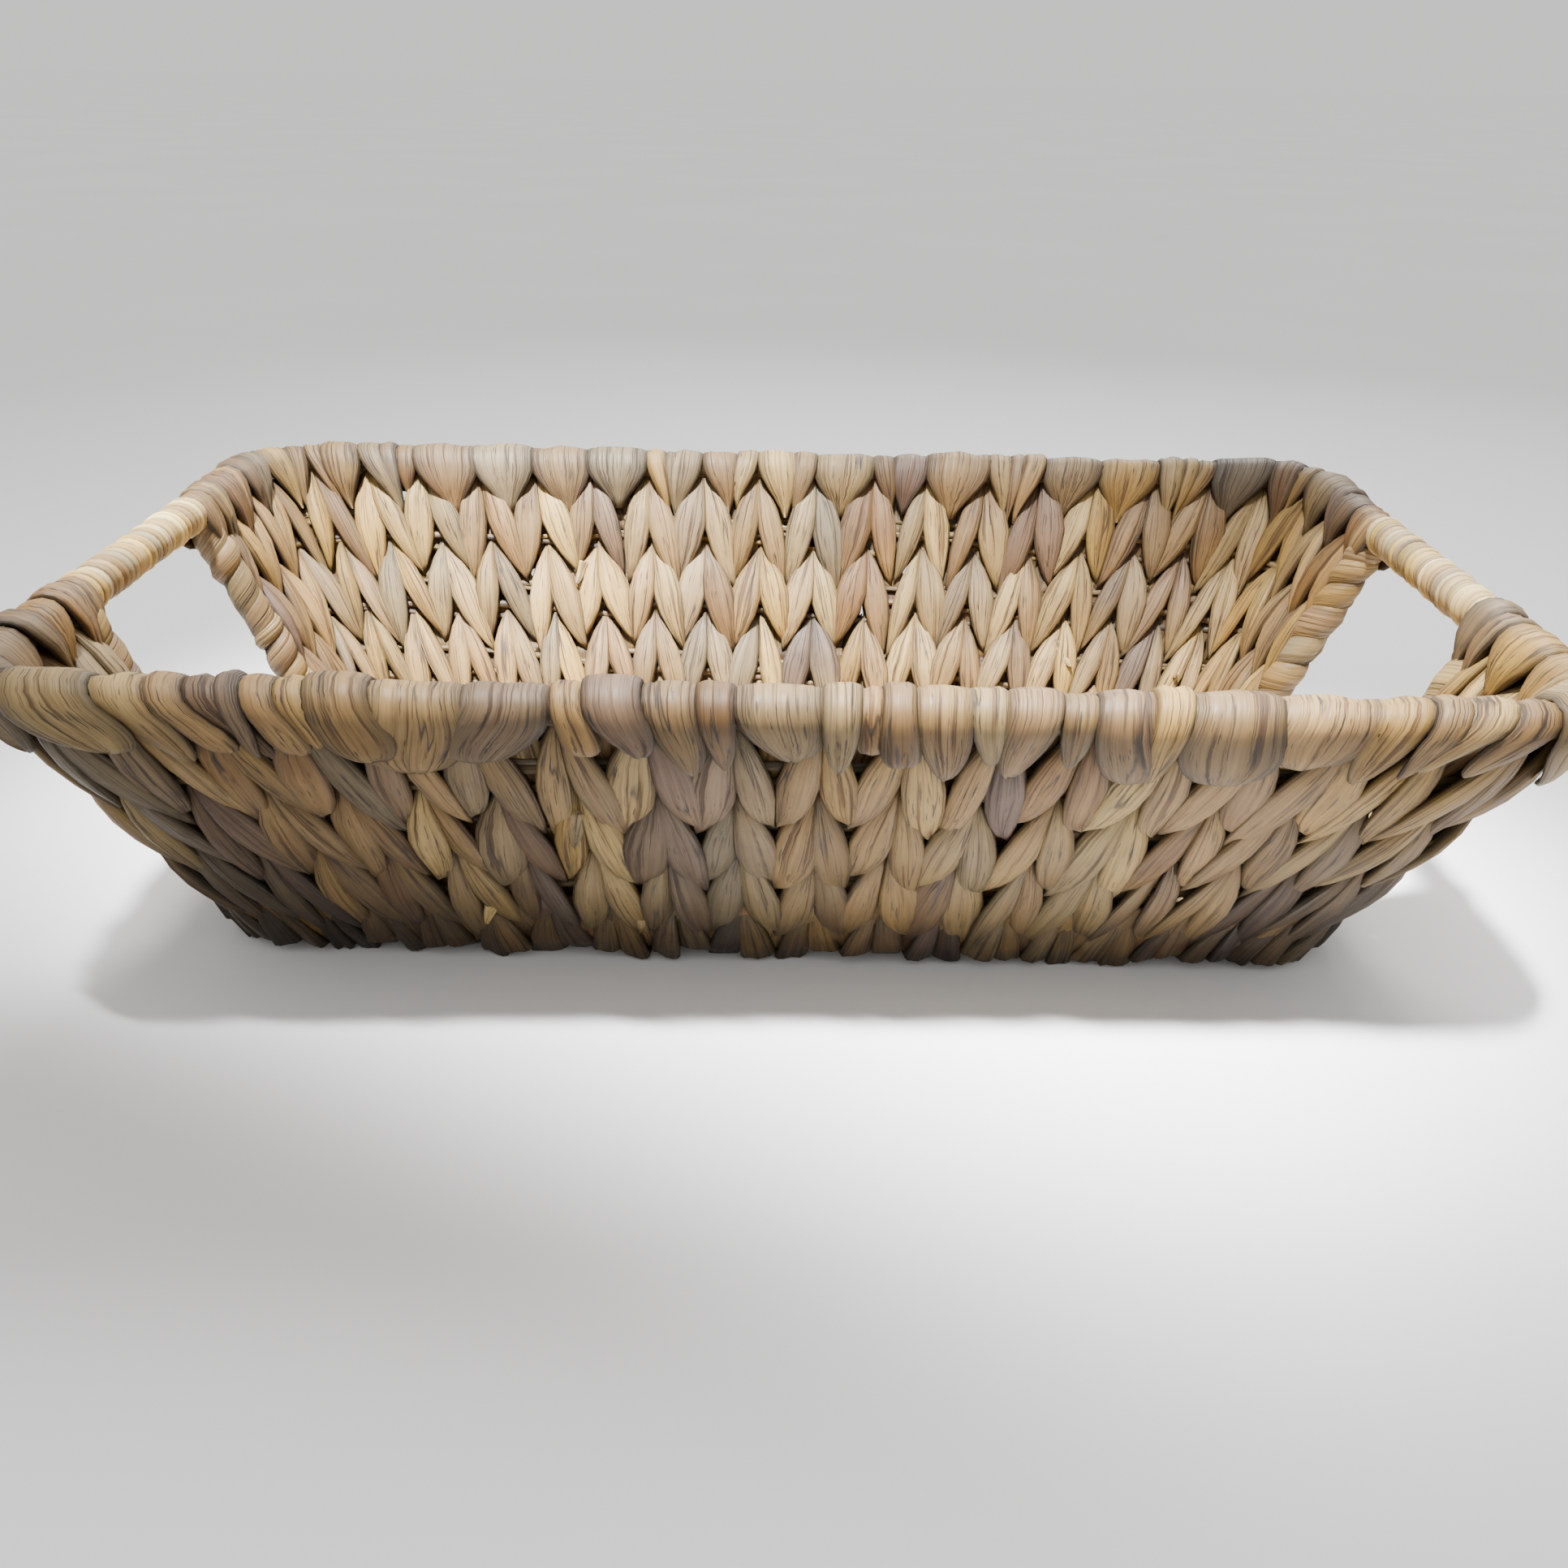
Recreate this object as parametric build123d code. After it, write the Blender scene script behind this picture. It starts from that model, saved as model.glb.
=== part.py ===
"""A flared rectangular bread basket, woven from dried water hyacinth over a steel wire frame.

Two wire rings, one in the rim and one at the foot, are joined by four posts that also stand at the
sides of the two hand openings.  Fibre cores run round the walls in three rows and along the floor.
Flat strands are woven over and under the cores, column by column.  Wrapped strips bind the rim, the
two handle bars, the posts and the sills of the openings.

Lengths are in millimetres.  +X runs along the length, +Y to the back, +Z up, and the origin is the
middle of the underside.
"""

import math
import os

from build123d import *

# Overall sizes, measured to the outside of the weave.
rim_length = 400.0
rim_width = 244.0
height = 100.0
base_length = 318.0
base_width = 150.0
rim_corner_radius = 34.0
base_corner_radius = 24.0

# Steel frame.
ring_wire_diameter = 4.0
post_wire_diameter = 3.6

# Fibre cores and the strands that are woven round them.
core_diameter = 5.0
strand_thickness = 3.0
corner_strand_thickness = 1.8
strand_pitch = 10.25
strand_gap = 0.15
weave_clearance = 0.3
crest_length = 10.0
wall_rows = 3
floor_core_count = 4

# Rim binding, handle bars, posts and sills.
rim_filler_diameter = 8.0
rim_wrap_thickness = 2.5
rim_wrap_leg = 13.0
handle_wrap_thickness = 2.2
handle_turn_width = 5.1
post_diameter = 10.0
post_turn_width = 6.5
sill_turn_width = 8.2
turn_gap = 0.1
wrap_clearance = 0.2

# Worked out from the sizes above.
wave_height = core_diameter / 2 + weave_clearance + strand_thickness / 2
half_wall = wave_height + strand_thickness / 2
rim_radius = rim_filler_diameter / 2 + weave_clearance + rim_wrap_thickness
foot_z = half_wall
rim_z = height - rim_radius
opening_side = base_width / 2 - base_corner_radius
post_y = opening_side - post_diameter / 2
opening_half = opening_side - post_diameter
front_half = base_length / 2 - base_corner_radius
row_names = ["row_3", "row_2", "row_1"]


class Ring:
    """The middle line of the wall at one height: a rectangle with round corners."""

    def __init__(self, share):
        """share is 0 at the foot ring and 1 at the rim ring."""
        self.z = foot_z + share * (rim_z - foot_z)
        self.half_length = self.between(share, base_length / 2 - half_wall, rim_length / 2 - rim_radius)
        self.half_width = self.between(share, base_width / 2 - half_wall, rim_width / 2 - rim_radius)
        self.corner = self.between(share, base_corner_radius - half_wall, rim_corner_radius - rim_radius)

    @staticmethod
    def between(share, low, high):
        return low + share * (high - low)

    def corner_centre(self, x_sign, y_sign):
        """The middle of a corner's arc."""
        return Vector(x_sign * (self.half_length - self.corner), y_sign * (self.half_width - self.corner), self.z)

    def corner_path(self, front_start, end_start):
        """Lengths of the three runs of a corner: along the long side, round the arc, along the end."""
        along_front = self.half_length - self.corner - front_start
        along_end = self.half_width - self.corner - end_start
        return along_front, self.corner * math.pi / 2, along_end

    def corner_point(self, share, front_start, end_start):
        """A point of the corner at +X, -Y and its outward direction, at a share of the corner's path."""
        along_front, arc, along_end = self.corner_path(front_start, end_start)
        distance = share * (along_front + arc + along_end)
        if distance <= along_front:
            return Vector(front_start + distance, -self.half_width, self.z), Vector(0, -1, 0)
        if distance >= along_front + arc:
            left = distance - along_front - arc
            return Vector(self.half_length, -(self.half_width - self.corner) + left, self.z), Vector(1, 0, 0)
        turn = (distance - along_front) / self.corner
        outward = Vector(math.sin(turn), -math.cos(turn), 0)
        centre = Vector(self.half_length - self.corner, -(self.half_width - self.corner), self.z)
        return centre + outward * self.corner, outward

    def full_path(self):
        """The whole ring as a closed wire."""
        flat = RectangleRounded(2 * self.half_length, 2 * self.half_width, self.corner)
        return Pos(0, 0, self.z) * flat.wire()

    def u_path(self, side):
        """The long side with its two corners, from post to post: side is -1 in front, 1 at the back."""
        reach = opening_side + wrap_clearance
        a, b, r = self.half_length, self.half_width, self.corner
        turn = r * (1 - math.sqrt(0.5))

        def at(x, y):
            return Vector(x, side * y, self.z)

        return Wire(
            [
                Line(at(-a, reach), at(-a, b - r)),
                ThreePointArc(at(-a, b - r), at(-a + turn, b - turn), at(-a + r, b)),
                Line(at(-a + r, b), at(a - r, b)),
                ThreePointArc(at(a - r, b), at(a - turn, b - turn), at(a, b - r)),
                Line(at(a, b - r), at(a, reach)),
            ]
        )


foot = Ring(0)
rim = Ring(1)
row_rings = [Ring((k + 1) / (wall_rows + 1)) for k in range(wall_rows)]


def rod(path, radius):
    """A round bar along a path of tangent lines and arcs."""
    return sweep(Plane(path @ 0, z_dir=path % 0) * Circle(radius), path=path)


def straight_rod(start, end, radius):
    """A round bar between two points."""
    return extrude(Plane(start, z_dir=end - start) * Circle(radius), (end - start).length)


def sleeve(start, direction, length, outer, inner):
    """A plain ring of a wrap, standing square to its bar."""
    return extrude(Plane(start, z_dir=direction) * (Circle(outer) - Circle(inner)), length)


def sleeves(start, end, outer, inner, turn_width):
    """The turns of a wrap side by side between two points, drawn as rings."""
    length = (end - start).length
    count = max(1, round(length / turn_width))
    step = (end - start) * (1 / count)
    width = step.length - turn_gap
    return [sleeve(start + step * k, step, width, outer, inner) for k in range(count)]


def wave(stations, first_side, low_end, high_end, thickness=strand_thickness):
    """Outline of a strand that passes over and under the cores.

    The outline is in the strand's own plane: X along the strand, Y out of the wall.  stations holds
    each core's place in that plane.  low_end and high_end say where the strand ends, each as a
    function of the distance out of the wall.
    """
    middle = []
    for k, (place, core_out) in enumerate(stations):
        out = core_out + wave_height * first_side * (-1) ** k
        if k > 0:
            middle.append((place - crest_length / 2, out))
        if k < len(stations) - 1:
            middle.append((place + crest_length / 2, out))
    slope_run = stations[1][0] - stations[0][0] - crest_length if len(stations) > 1 else 1
    mitre_shift = thickness / 2 * math.tan(math.atan2(2 * wave_height, slope_run) / 2)
    last_side = first_side * (-1) ** (len(stations) - 1)

    def edge(side):
        """The middle line moved by half the thickness to one side, with mitred bends."""
        points = []
        for k, (place, out) in enumerate(middle):
            above = first_side * (-1) ** ((k + 1) // 2)
            turn = above if k % 2 == 0 else -above
            points.append((place + mitre_shift * side * turn, out + side * thickness / 2))
        first_out = stations[0][1] + wave_height * first_side + side * thickness / 2
        last_out = stations[-1][1] + wave_height * last_side + side * thickness / 2
        return [(low_end(first_out), first_out), *points, (high_end(last_out), last_out)]

    outline = edge(1) + edge(-1)[::-1]
    return make_face(Polyline(*outline, close=True))


def wall_frame(low, high, outward):
    """The plane of a strand on the wall: X up the wall, Y out of it, with the origin at the foot ring."""
    up = (high - low).normalized()
    across = up.cross(outward).normalized()
    return Plane(low, x_dir=up, z_dir=across)


def side_plane(low, high, outward):
    """The plane that parts two neighbouring strands: it holds their shared line and looks along the wall."""
    return Plane(low, z_dir=(high - low).cross(outward).normalized())


def mitre(rise, run):
    """Where a wall strand ends at the foot: on the plane that halves the angle of wall and floor."""
    half_angle = (math.pi / 2 + math.atan2(run, rise)) / 2
    return lambda out: -out / math.tan(half_angle)


def slant(run):
    """Length of the wall from the foot ring to the rim ring, for a wall that leans out by run."""
    return math.hypot(rim_z - foot_z, run)


def level(points):
    """Places along a straight strand, as stations with their cores in its middle."""
    return [(place, 0) for place in points]


def wall_outline(stations, run, first_side, high_end, thickness=strand_thickness):
    """A wall strand's outline from the foot up to the rim binding."""
    return wave(stations, first_side, mitre(rim_z - foot_z, run), high_end, thickness)


def saddle_outline(length):
    """The U-shaped outline of a rim strip that goes over the rim filler and down both sides."""
    inner = rim_filler_diameter / 2 + weave_clearance
    middle = length - rim_wrap_leg / 2
    outside = Pos(length, 0) * Circle(rim_radius) + Pos(middle, 0) * Rectangle(rim_wrap_leg, 2 * rim_radius)
    inside = Pos(length, 0) * Circle(inner) + Pos(middle, 0) * Rectangle(rim_wrap_leg, 2 * inner)
    return outside - inside


def rim_strips(start, end, outward):
    """Rim strips side by side along a straight stretch of the rim, leaning with the wall below it."""
    run = rim.half_width - foot.half_width if outward.X == 0 else rim.half_length - foot.half_length
    below = outward * -run + Vector(0, 0, foot_z - rim_z)
    step = (end - start) * (1 / max(1, round((end - start).length / (2 * strand_pitch))))
    strips = []
    for k in range(round((end - start).length / step.length)):
        place = start + step * (k + 0.5)
        frame = wall_frame(place + below, place, outward)
        strips.append(extrude(frame * saddle_outline(below.length), (step.length - strand_gap) / 2, both=True))
    return strips


def rim_corner_strips(x_sign, y_sign):
    """Rim strips side by side round the arc of a corner."""
    count = max(1, round(rim.corner * math.pi / 2 / (2 * strand_pitch)))
    gap_angle = math.degrees(strand_gap / rim.corner)
    centre = rim.corner_centre(x_sign, y_sign)
    quarter = {(1, 1): 0, (-1, 1): 90, (-1, -1): 180, (1, -1): 270}[(x_sign, y_sign)]
    run = rim.half_width - foot.half_width
    strips = []
    for k in range(count):
        turn = math.radians(quarter + 90 * k / count + gap_angle / 2)
        outward = Vector(math.cos(turn), math.sin(turn), 0)
        top = centre + outward * rim.corner
        low = top - outward * run + Vector(0, 0, foot_z - rim_z)
        outline = wall_frame(low, top, outward) * saddle_outline((top - low).length)
        strips.append(revolve(outline, Axis(centre, (0, 0, 1)), 90 / count - gap_angle))
    return strips


def under_rim(frame):
    """The ends of the strands of a corner, level with each other and clear of the rim strips."""
    run = max(rim.half_width - foot.half_width, rim.half_length - foot.half_length)
    lean = math.atan2(run, rim_z - foot_z)
    drop = rim_wrap_leg * math.cos(lean) + rim_radius * math.sin(lean) + 4 * wrap_clearance
    return lambda out: (rim_z - drop - foot_z - out * frame.y_dir.Z) / frame.x_dir.Z


def spread(count, half):
    """Middles of count equal steps between -half and half, and the width of a step."""
    step = 2 * half / count
    return [-half + step * (k + 0.5) for k in range(count)], step


def even_count(length):
    """How many strands fit a length, always in pairs, because each column of the weave is a pair."""
    return 2 * max(1, round(length / strand_pitch / 2))


def long_wall(side):
    """Strands of the front (side -1) or the back (side 1)."""
    run = rim.half_width - foot.half_width
    length = slant(run)
    top = length - rim_wrap_leg - wrap_clearance
    stations = level(length * k / (wall_rows + 1) for k in range(wall_rows + 1))
    middles, step = spread(even_count(2 * front_half), front_half)
    strands = []
    for k, x in enumerate(middles):
        low = Vector(x, side * foot.half_width, foot.z)
        high = Vector(x, side * rim.half_width, rim.z)
        frame = wall_frame(low, high, Vector(0, side, 0))
        outline = wall_outline(stations, run, -side * (-1) ** k, lambda out: top)
        strands.append(extrude(frame * outline, (step - strand_gap) / 2, both=True))
    return strands


def corner_place(ring, share, x_sign, y_sign):
    """A point of a corner on one ring, at a share of the corner's path, and its outward direction."""
    point, outward = ring.corner_point(share, front_half, opening_side)
    return Vector(x_sign * point.X, -y_sign * point.Y, point.Z), Vector(x_sign * outward.X, -y_sign * outward.Y, 0)


def corner_line(share, x_sign, y_sign):
    """The line up a corner at a share of its path: its foot point, its rim point and its outward direction."""
    low, out_low = corner_place(foot, share, x_sign, y_sign)
    high, out_high = corner_place(rim, share, x_sign, y_sign)
    return low, high, (out_low + out_high).normalized()


def corner_strand(share_low, share_high, x_sign, y_sign, first_side):
    """One strand of a corner, tapered between the two planes that part it from its neighbours."""
    middle = (share_low + share_high) / 2
    low, high, outward = corner_line(middle, x_sign, y_sign)
    lean = high - low
    frame = wall_frame(low, high, outward)
    cores = [frame.to_local_coords(corner_place(ring, middle, x_sign, y_sign)[0]) for ring in [foot, *row_rings]]
    stations = [(core.X, core.Y) for core in cores]
    run = math.hypot(lean.X, lean.Y)
    outline = wall_outline(stations, run, first_side, under_rim(frame), corner_strand_thickness)
    body = extrude(frame * outline, 2 * strand_pitch, both=True)
    for share in (share_low, share_high):
        plane = side_plane(*corner_line(share, x_sign, y_sign))
        towards = 1 if plane.to_local_coords(low + lean * 0.5).Z > 0 else -1
        keep = Keep.TOP if towards > 0 else Keep.BOTTOM
        body = split(body, plane.offset(towards * strand_gap / 2), keep=keep)
    return body


def corner_strands(x_sign, y_sign):
    """Strands of one corner, from the long wall round to the post of the hand opening."""
    along_front, arc, along_end = rim.corner_path(front_half, opening_side)
    count = even_count(along_front + arc + along_end)
    shares = [k / count for k in range(count + 1)]
    first = -x_sign * y_sign
    return [
        corner_strand(shares[k], shares[k + 1], x_sign, y_sign, first * (-1) ** k) for k in range(count)
    ]


def corner_rim_wraps(x_sign, y_sign):
    """Rim strips of one corner: round its arc and along the end wall to the post."""
    start = Vector(x_sign * rim.half_length, y_sign * (rim.half_width - rim.corner), rim.z)
    end = Vector(x_sign * rim.half_length, y_sign * opening_side, rim.z)
    return rim_corner_strips(x_sign, y_sign) + rim_strips(start, end, Vector(x_sign, 0, 0))


def long_rim_wraps(side):
    """Rim strips of the front (side -1) or the back (side 1), between the arcs of its corners."""
    reach = rim.half_length - rim.corner
    start = Vector(-reach, side * rim.half_width, rim.z)
    end = Vector(reach, side * rim.half_width, rim.z)
    return rim_strips(start, end, Vector(0, side, 0))


def end_point(x_sign, y, share):
    """A point on the middle line of an end wall."""
    ring = Ring(share)
    return Vector(x_sign * ring.half_length, y, ring.z)


def sill_strands(x_sign):
    """The short strands under a hand opening, from the foot up to the wrapped sill."""
    run = rim.half_length - foot.half_length
    length = slant(run)
    sill = length / (wall_rows + 1)
    top = sill - half_wall - wrap_clearance
    cut = mitre(rim_z - foot_z, run)
    count = even_count(2 * opening_half)
    middles, step = spread(count, opening_half)
    strands = []
    for k, y in enumerate(middles):
        frame = wall_frame(end_point(x_sign, y, 0), end_point(x_sign, y, 1), Vector(x_sign, 0, 0))
        outline = wave(level([0]), (-1) ** k, cut, lambda out: top)
        strands.append(extrude(frame * outline, (step - strand_gap) / 2, both=True))
    return strands


def sill_wraps(x_sign):
    """The turns of the strip round the sill of a hand opening."""
    ring = row_rings[0]
    start = Vector(x_sign * ring.half_length, -opening_half, ring.z)
    end = Vector(x_sign * ring.half_length, opening_half, ring.z)
    return sleeves(start, end, half_wall, core_diameter / 2 + wrap_clearance, sill_turn_width)


def handle_wraps(x_sign):
    """The turns of the strip round a handle bar."""
    start = Vector(x_sign * rim.half_length, -opening_half, rim.z)
    end = Vector(x_sign * rim.half_length, opening_half, rim.z)
    inner = rim_filler_diameter / 2 + wrap_clearance
    return sleeves(start, end, inner + handle_wrap_thickness, inner, handle_turn_width)


def post_line(x_sign, y_sign):
    """The middle line of a post, from the foot ring to the rim ring."""
    return end_point(x_sign, y_sign * post_y, 0), end_point(x_sign, y_sign * post_y, 1)


def post_wire(x_sign, y_sign, rings):
    """The wire of a post, cut to sit on the two rings that it is welded to."""
    low, high = post_line(x_sign, y_sign)
    return straight_rod(low, high, post_wire_diameter / 2) - rings


def post_wraps(x_sign, y_sign):
    """The turns of the strip round a post, from above the foot ring to below the rim binding."""
    low, high = post_line(x_sign, y_sign)
    up = (high - low).normalized()
    start = low + up * half_wall
    end = high - up * (rim_wrap_leg + wrap_clearance)
    return sleeves(start, end, post_diameter / 2, post_wire_diameter / 2 + wrap_clearance, post_turn_width)


def post_cap(x_sign, y_sign):
    """The rim strip over the top of a post, between the handle bar and the corner."""
    low, high = post_line(x_sign, y_sign)
    frame = wall_frame(low, high, Vector(x_sign, 0, 0))
    outline = saddle_outline((high - low).length)
    return extrude(frame * outline, (post_diameter - strand_gap) / 2, both=True)


def floor_stations():
    """Places across the floor of the two foot wires and the floor cores between them."""
    steps = floor_core_count + 1
    return [-foot.half_width + 2 * foot.half_width * k / steps for k in range(steps + 1)]


def floor_strands():
    """The strands of the floor, each from the front foot wire to the back one."""
    run = rim.half_width - foot.half_width
    cut = mitre(rim_z - foot_z, run)
    stations = floor_stations()
    count = even_count(2 * front_half)
    middles, step = spread(count, front_half)
    strands = []
    for k, x in enumerate(middles):
        frame = Plane((x, 0, foot.z), x_dir=(0, 1, 0), z_dir=(1, 0, 0))
        side = -1 if k % 2 == 0 else 1
        outline = wave(
            level(stations),
            side,
            lambda out: stations[0] + cut(-out),
            lambda out: stations[-1] - cut(-out),
        )
        strands.append(extrude(frame * outline, (step - strand_gap) / 2, both=True))
    return strands + [floor_edge_strand(sign, step) for sign in (-1, 1)]


def floor_edge_strand(sign, width):
    """The last strand at one end of the floor, shortened to lie inside the foot's round corners."""
    reach = opening_side + math.sqrt(max((foot.corner - half_wall) ** 2 - (width - strand_gap) ** 2, 0))
    frame = Plane((sign * (front_half + width / 2), 0, foot.z), x_dir=(0, 1, 0), z_dir=(1, 0, 0))
    outline = wave(level(floor_stations()[1:-1]), -sign, lambda out: -reach, lambda out: reach)
    return extrude(frame * outline, (width - strand_gap) / 2, both=True)


def floor_cores():
    """The cores along the floor, between the two end walls."""
    reach = foot.half_length - ring_wire_diameter / 2 - weave_clearance - strand_gap
    places = floor_stations()[1:-1]
    return [straight_rod(Vector(-reach, y, foot.z), Vector(reach, y, foot.z), core_diameter / 2) for y in places]


def sill_core(x_sign):
    """The core inside the wrapped sill of a hand opening."""
    ring = row_rings[0]
    reach = opening_half - wrap_clearance
    x = x_sign * ring.half_length
    return straight_rod(Vector(x, -reach, ring.z), Vector(x, reach, ring.z), core_diameter / 2)


def corner_nodes(x_sign, y_sign, rings):
    """The pieces of one corner and of the post beside it, by what they are."""
    return {
        "post_wire": [post_wire(x_sign, y_sign, rings)],
        "post_wraps": post_wraps(x_sign, y_sign),
        "post_cap": [post_cap(x_sign, y_sign)],
        "corner_strands": corner_strands(x_sign, y_sign),
        "corner_rim_wraps": corner_rim_wraps(x_sign, y_sign),
    }


def build():
    """Every node of the basket by name, each a list of separate solids."""
    rim_wire = rod(rim.full_path(), ring_wire_diameter / 2)
    foot_wire = rod(foot.full_path(), ring_wire_diameter / 2)
    filler = rod(rim.full_path(), rim_filler_diameter / 2) - rim_wire
    nodes = {"rim_wire": [rim_wire], "foot_wire": [foot_wire], "floor_strands": floor_strands()}
    ends = {-1: "left", 1: "right"}
    sides = {-1: "front", 1: "back"}
    for x_sign, end in ends.items():
        for y_sign, side in sides.items():
            for piece, shapes in corner_nodes(x_sign, y_sign, rim_wire + foot_wire).items():
                nodes[f"{end}_{side}_{piece}"] = shapes
            filler -= straight_rod(*post_line(x_sign, y_sign), post_wire_diameter / 2)
        nodes[f"{end}_handle_wraps"] = handle_wraps(x_sign)
        nodes[f"{end}_sill_wraps"] = sill_wraps(x_sign)
        nodes[f"{end}_sill_strands"] = sill_strands(x_sign)
        nodes[f"{end}_sill_core"] = [sill_core(x_sign)]
    nodes["rim_filler"] = [filler]
    for y_sign, side in sides.items():
        nodes[f"{side}_wall_strands"] = long_wall(y_sign)
        nodes[f"{side}_rim_wraps"] = long_rim_wraps(y_sign)
        for name, ring in zip(row_names, row_rings):
            nodes[f"{side}_core_{name}"] = [rod(ring.u_path(y_sign), core_diameter / 2)]
    for k, core in enumerate(floor_cores()):
        nodes[f"floor_core_{k + 1}"] = [core]
    return nodes


def main():
    os.makedirs("parts", exist_ok=True)
    for name, shapes in build().items():
        solids = [solid for shape in shapes for solid in shape.solids()]
        export_step(solids[0] if len(solids) == 1 else Compound(solids), f"parts/{name}.step")


main()
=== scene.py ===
"""A bread basket woven from dried water hyacinth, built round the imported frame.

The strands, rim strips and windings are modelled here and ride on the frame's one body.  Lengths are
in metres, in the frame's own axes: X along the basket, Y to the back, Z up.
"""
import logging
import math
from dataclasses import dataclass, field
from enum import Enum

import bpy
import numpy as np
from mathutils import Matrix, Vector


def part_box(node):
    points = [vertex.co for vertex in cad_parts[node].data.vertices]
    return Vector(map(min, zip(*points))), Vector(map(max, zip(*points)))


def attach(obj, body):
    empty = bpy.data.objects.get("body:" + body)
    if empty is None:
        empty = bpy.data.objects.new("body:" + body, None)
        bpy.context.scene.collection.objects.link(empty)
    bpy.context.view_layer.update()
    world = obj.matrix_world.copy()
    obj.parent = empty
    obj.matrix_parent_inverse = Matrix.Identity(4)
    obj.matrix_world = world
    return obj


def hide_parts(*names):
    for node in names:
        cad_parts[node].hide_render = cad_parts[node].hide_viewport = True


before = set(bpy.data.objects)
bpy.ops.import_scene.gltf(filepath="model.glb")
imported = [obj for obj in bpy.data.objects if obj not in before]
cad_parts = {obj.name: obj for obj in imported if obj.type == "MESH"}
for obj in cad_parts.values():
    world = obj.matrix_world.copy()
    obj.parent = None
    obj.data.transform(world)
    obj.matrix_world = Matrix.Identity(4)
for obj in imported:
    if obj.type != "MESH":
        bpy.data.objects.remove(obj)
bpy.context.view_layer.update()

MM = 0.001
POLE_MARGIN = 0.06    # how far the end fans of a strip reach past it in its layers, as a share of its length
CELL_MARGIN = 0.06    # how much of a strand's cell in the bake layer stays free on each side
log = logging.getLogger("basket")


# ---------------------------------------------------------------------------------------- surfaces


@dataclass(frozen=True)
class Ring:
    """The middle line of the wall at one height: a rectangle with round corners."""

    half_length: float
    half_width: float
    corner: float
    z: float

    @classmethod
    def of_wire(cls, node: str, corner: float) -> "Ring":
        """The ring that a wire of the frame follows.

        Args:
            node: the wire's node.
            corner: radius of the wire's middle line in the corners.

        Returns:
            The ring through the wire's middle.
        """
        low, high = (Vector(corner_point) for corner_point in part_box(node))
        wire = (high.z - low.z) / 2
        return cls(high.x - wire, high.y - wire, corner, (low.z + high.z) / 2)

    def quarter(self, distance: np.ndarray) -> tuple[np.ndarray, np.ndarray]:
        """Points and outward directions along one quarter of the ring.

        Args:
            distance: lengths along the ring from the middle of the long side.

        Returns:
            Points with x and y positive, and outward unit directions, each as an (n, 3) array.
        """
        run = self.half_length - self.corner
        arc = self.corner * math.pi / 2
        turn = np.clip((distance - run) / self.corner, 0, math.pi / 2)
        outward = np.stack([np.sin(turn), np.cos(turn), np.zeros_like(turn)], axis=-1)
        x = np.minimum(distance, run) + self.corner * outward[..., 0]
        past = np.maximum(distance - run - arc, 0)
        y = self.half_width - self.corner + self.corner * outward[..., 1] - past
        return np.stack([x, y, np.full_like(x, self.z)], axis=-1), outward

    def reach(self, post_y: float) -> float:
        """Length of the ring from the middle of the long side to a post on the short side."""
        return self.half_length + self.half_width - (2 - math.pi / 2) * self.corner - post_y


def unit(vectors: np.ndarray) -> np.ndarray:
    """The vectors at length one."""
    return vectors / np.linalg.norm(vectors, axis=-1, keepdims=True)


def smooth(value: np.ndarray) -> np.ndarray:
    """A smooth step from 0 to 1 as value goes from 0 to 1."""
    value = np.clip(value, 0, 1)
    return value * value * (3 - 2 * value)


def bowed(wave: np.ndarray, power: float) -> np.ndarray:
    """A sine or cosine with its sides pushed out, which makes a round section flatter."""
    return np.sign(wave) * np.abs(wave) ** power


def crease_depth(
    across: np.ndarray, depths: np.ndarray, places: list[np.ndarray], width: float
) -> np.ndarray:
    """How deep the creases along a strip are at each point.

    Args:
        across: each point's place across the strip, -1 to 1.
        depths: the depth of each crease.
        places: the place of each crease across the strip, at each point.
        width: the creases' half-width, in the same units.

    Returns:
        The depths.
    """
    return sum(depth * np.exp(-(((across - place) / width) ** 2)) for depth, place in zip(depths, places))


@dataclass
class Surface:
    """A wall that leans between the foot ring and the rim ring.

    Places on it are given as s along the rim, v up the slope from the foot ring, and h out of the wall.
    Below the foot ring, v goes on inwards under the floor.
    """

    foot: Ring
    rim: Ring
    bend: float = 5.0 * MM

    @property
    def slope(self) -> float:
        """Length of the wall from ring to ring."""
        return math.hypot(self.rim.z - self.foot.z, self.rim.half_width - self.foot.half_width)

    def edges(self, s: np.ndarray) -> tuple[np.ndarray, ...]:
        """Foot points, foot directions, rim points and rim directions at s."""
        raise NotImplementedError

    def place(self, s: np.ndarray, v: np.ndarray, h: np.ndarray) -> np.ndarray:
        """Points of the wall in the frame's axes.

        Args:
            s: lengths along the rim.
            v: lengths up the slope.
            h: lengths out of the wall.

        Returns:
            The points as an (n, 3) array.
        """
        low, low_out, high, high_out = self.edges(s)
        share = v / self.slope
        up = unit(high - low)
        level_out = unit(low_out + (high_out - low_out) * np.clip(share, 0, 1)[..., None])
        wall_out = unit(level_out - up * (level_out * up).sum(-1, keepdims=True))
        wall_share = smooth((v + self.bend) / (2 * self.bend))[..., None]
        out = unit(wall_out * wall_share + np.array([0, 0, -1.0]) * (1 - wall_share))
        middle = low + (high - low) * np.maximum(share, 0)[..., None]
        middle = middle + level_out * np.minimum(v, 0)[..., None]
        return middle + out * h[..., None]


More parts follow.
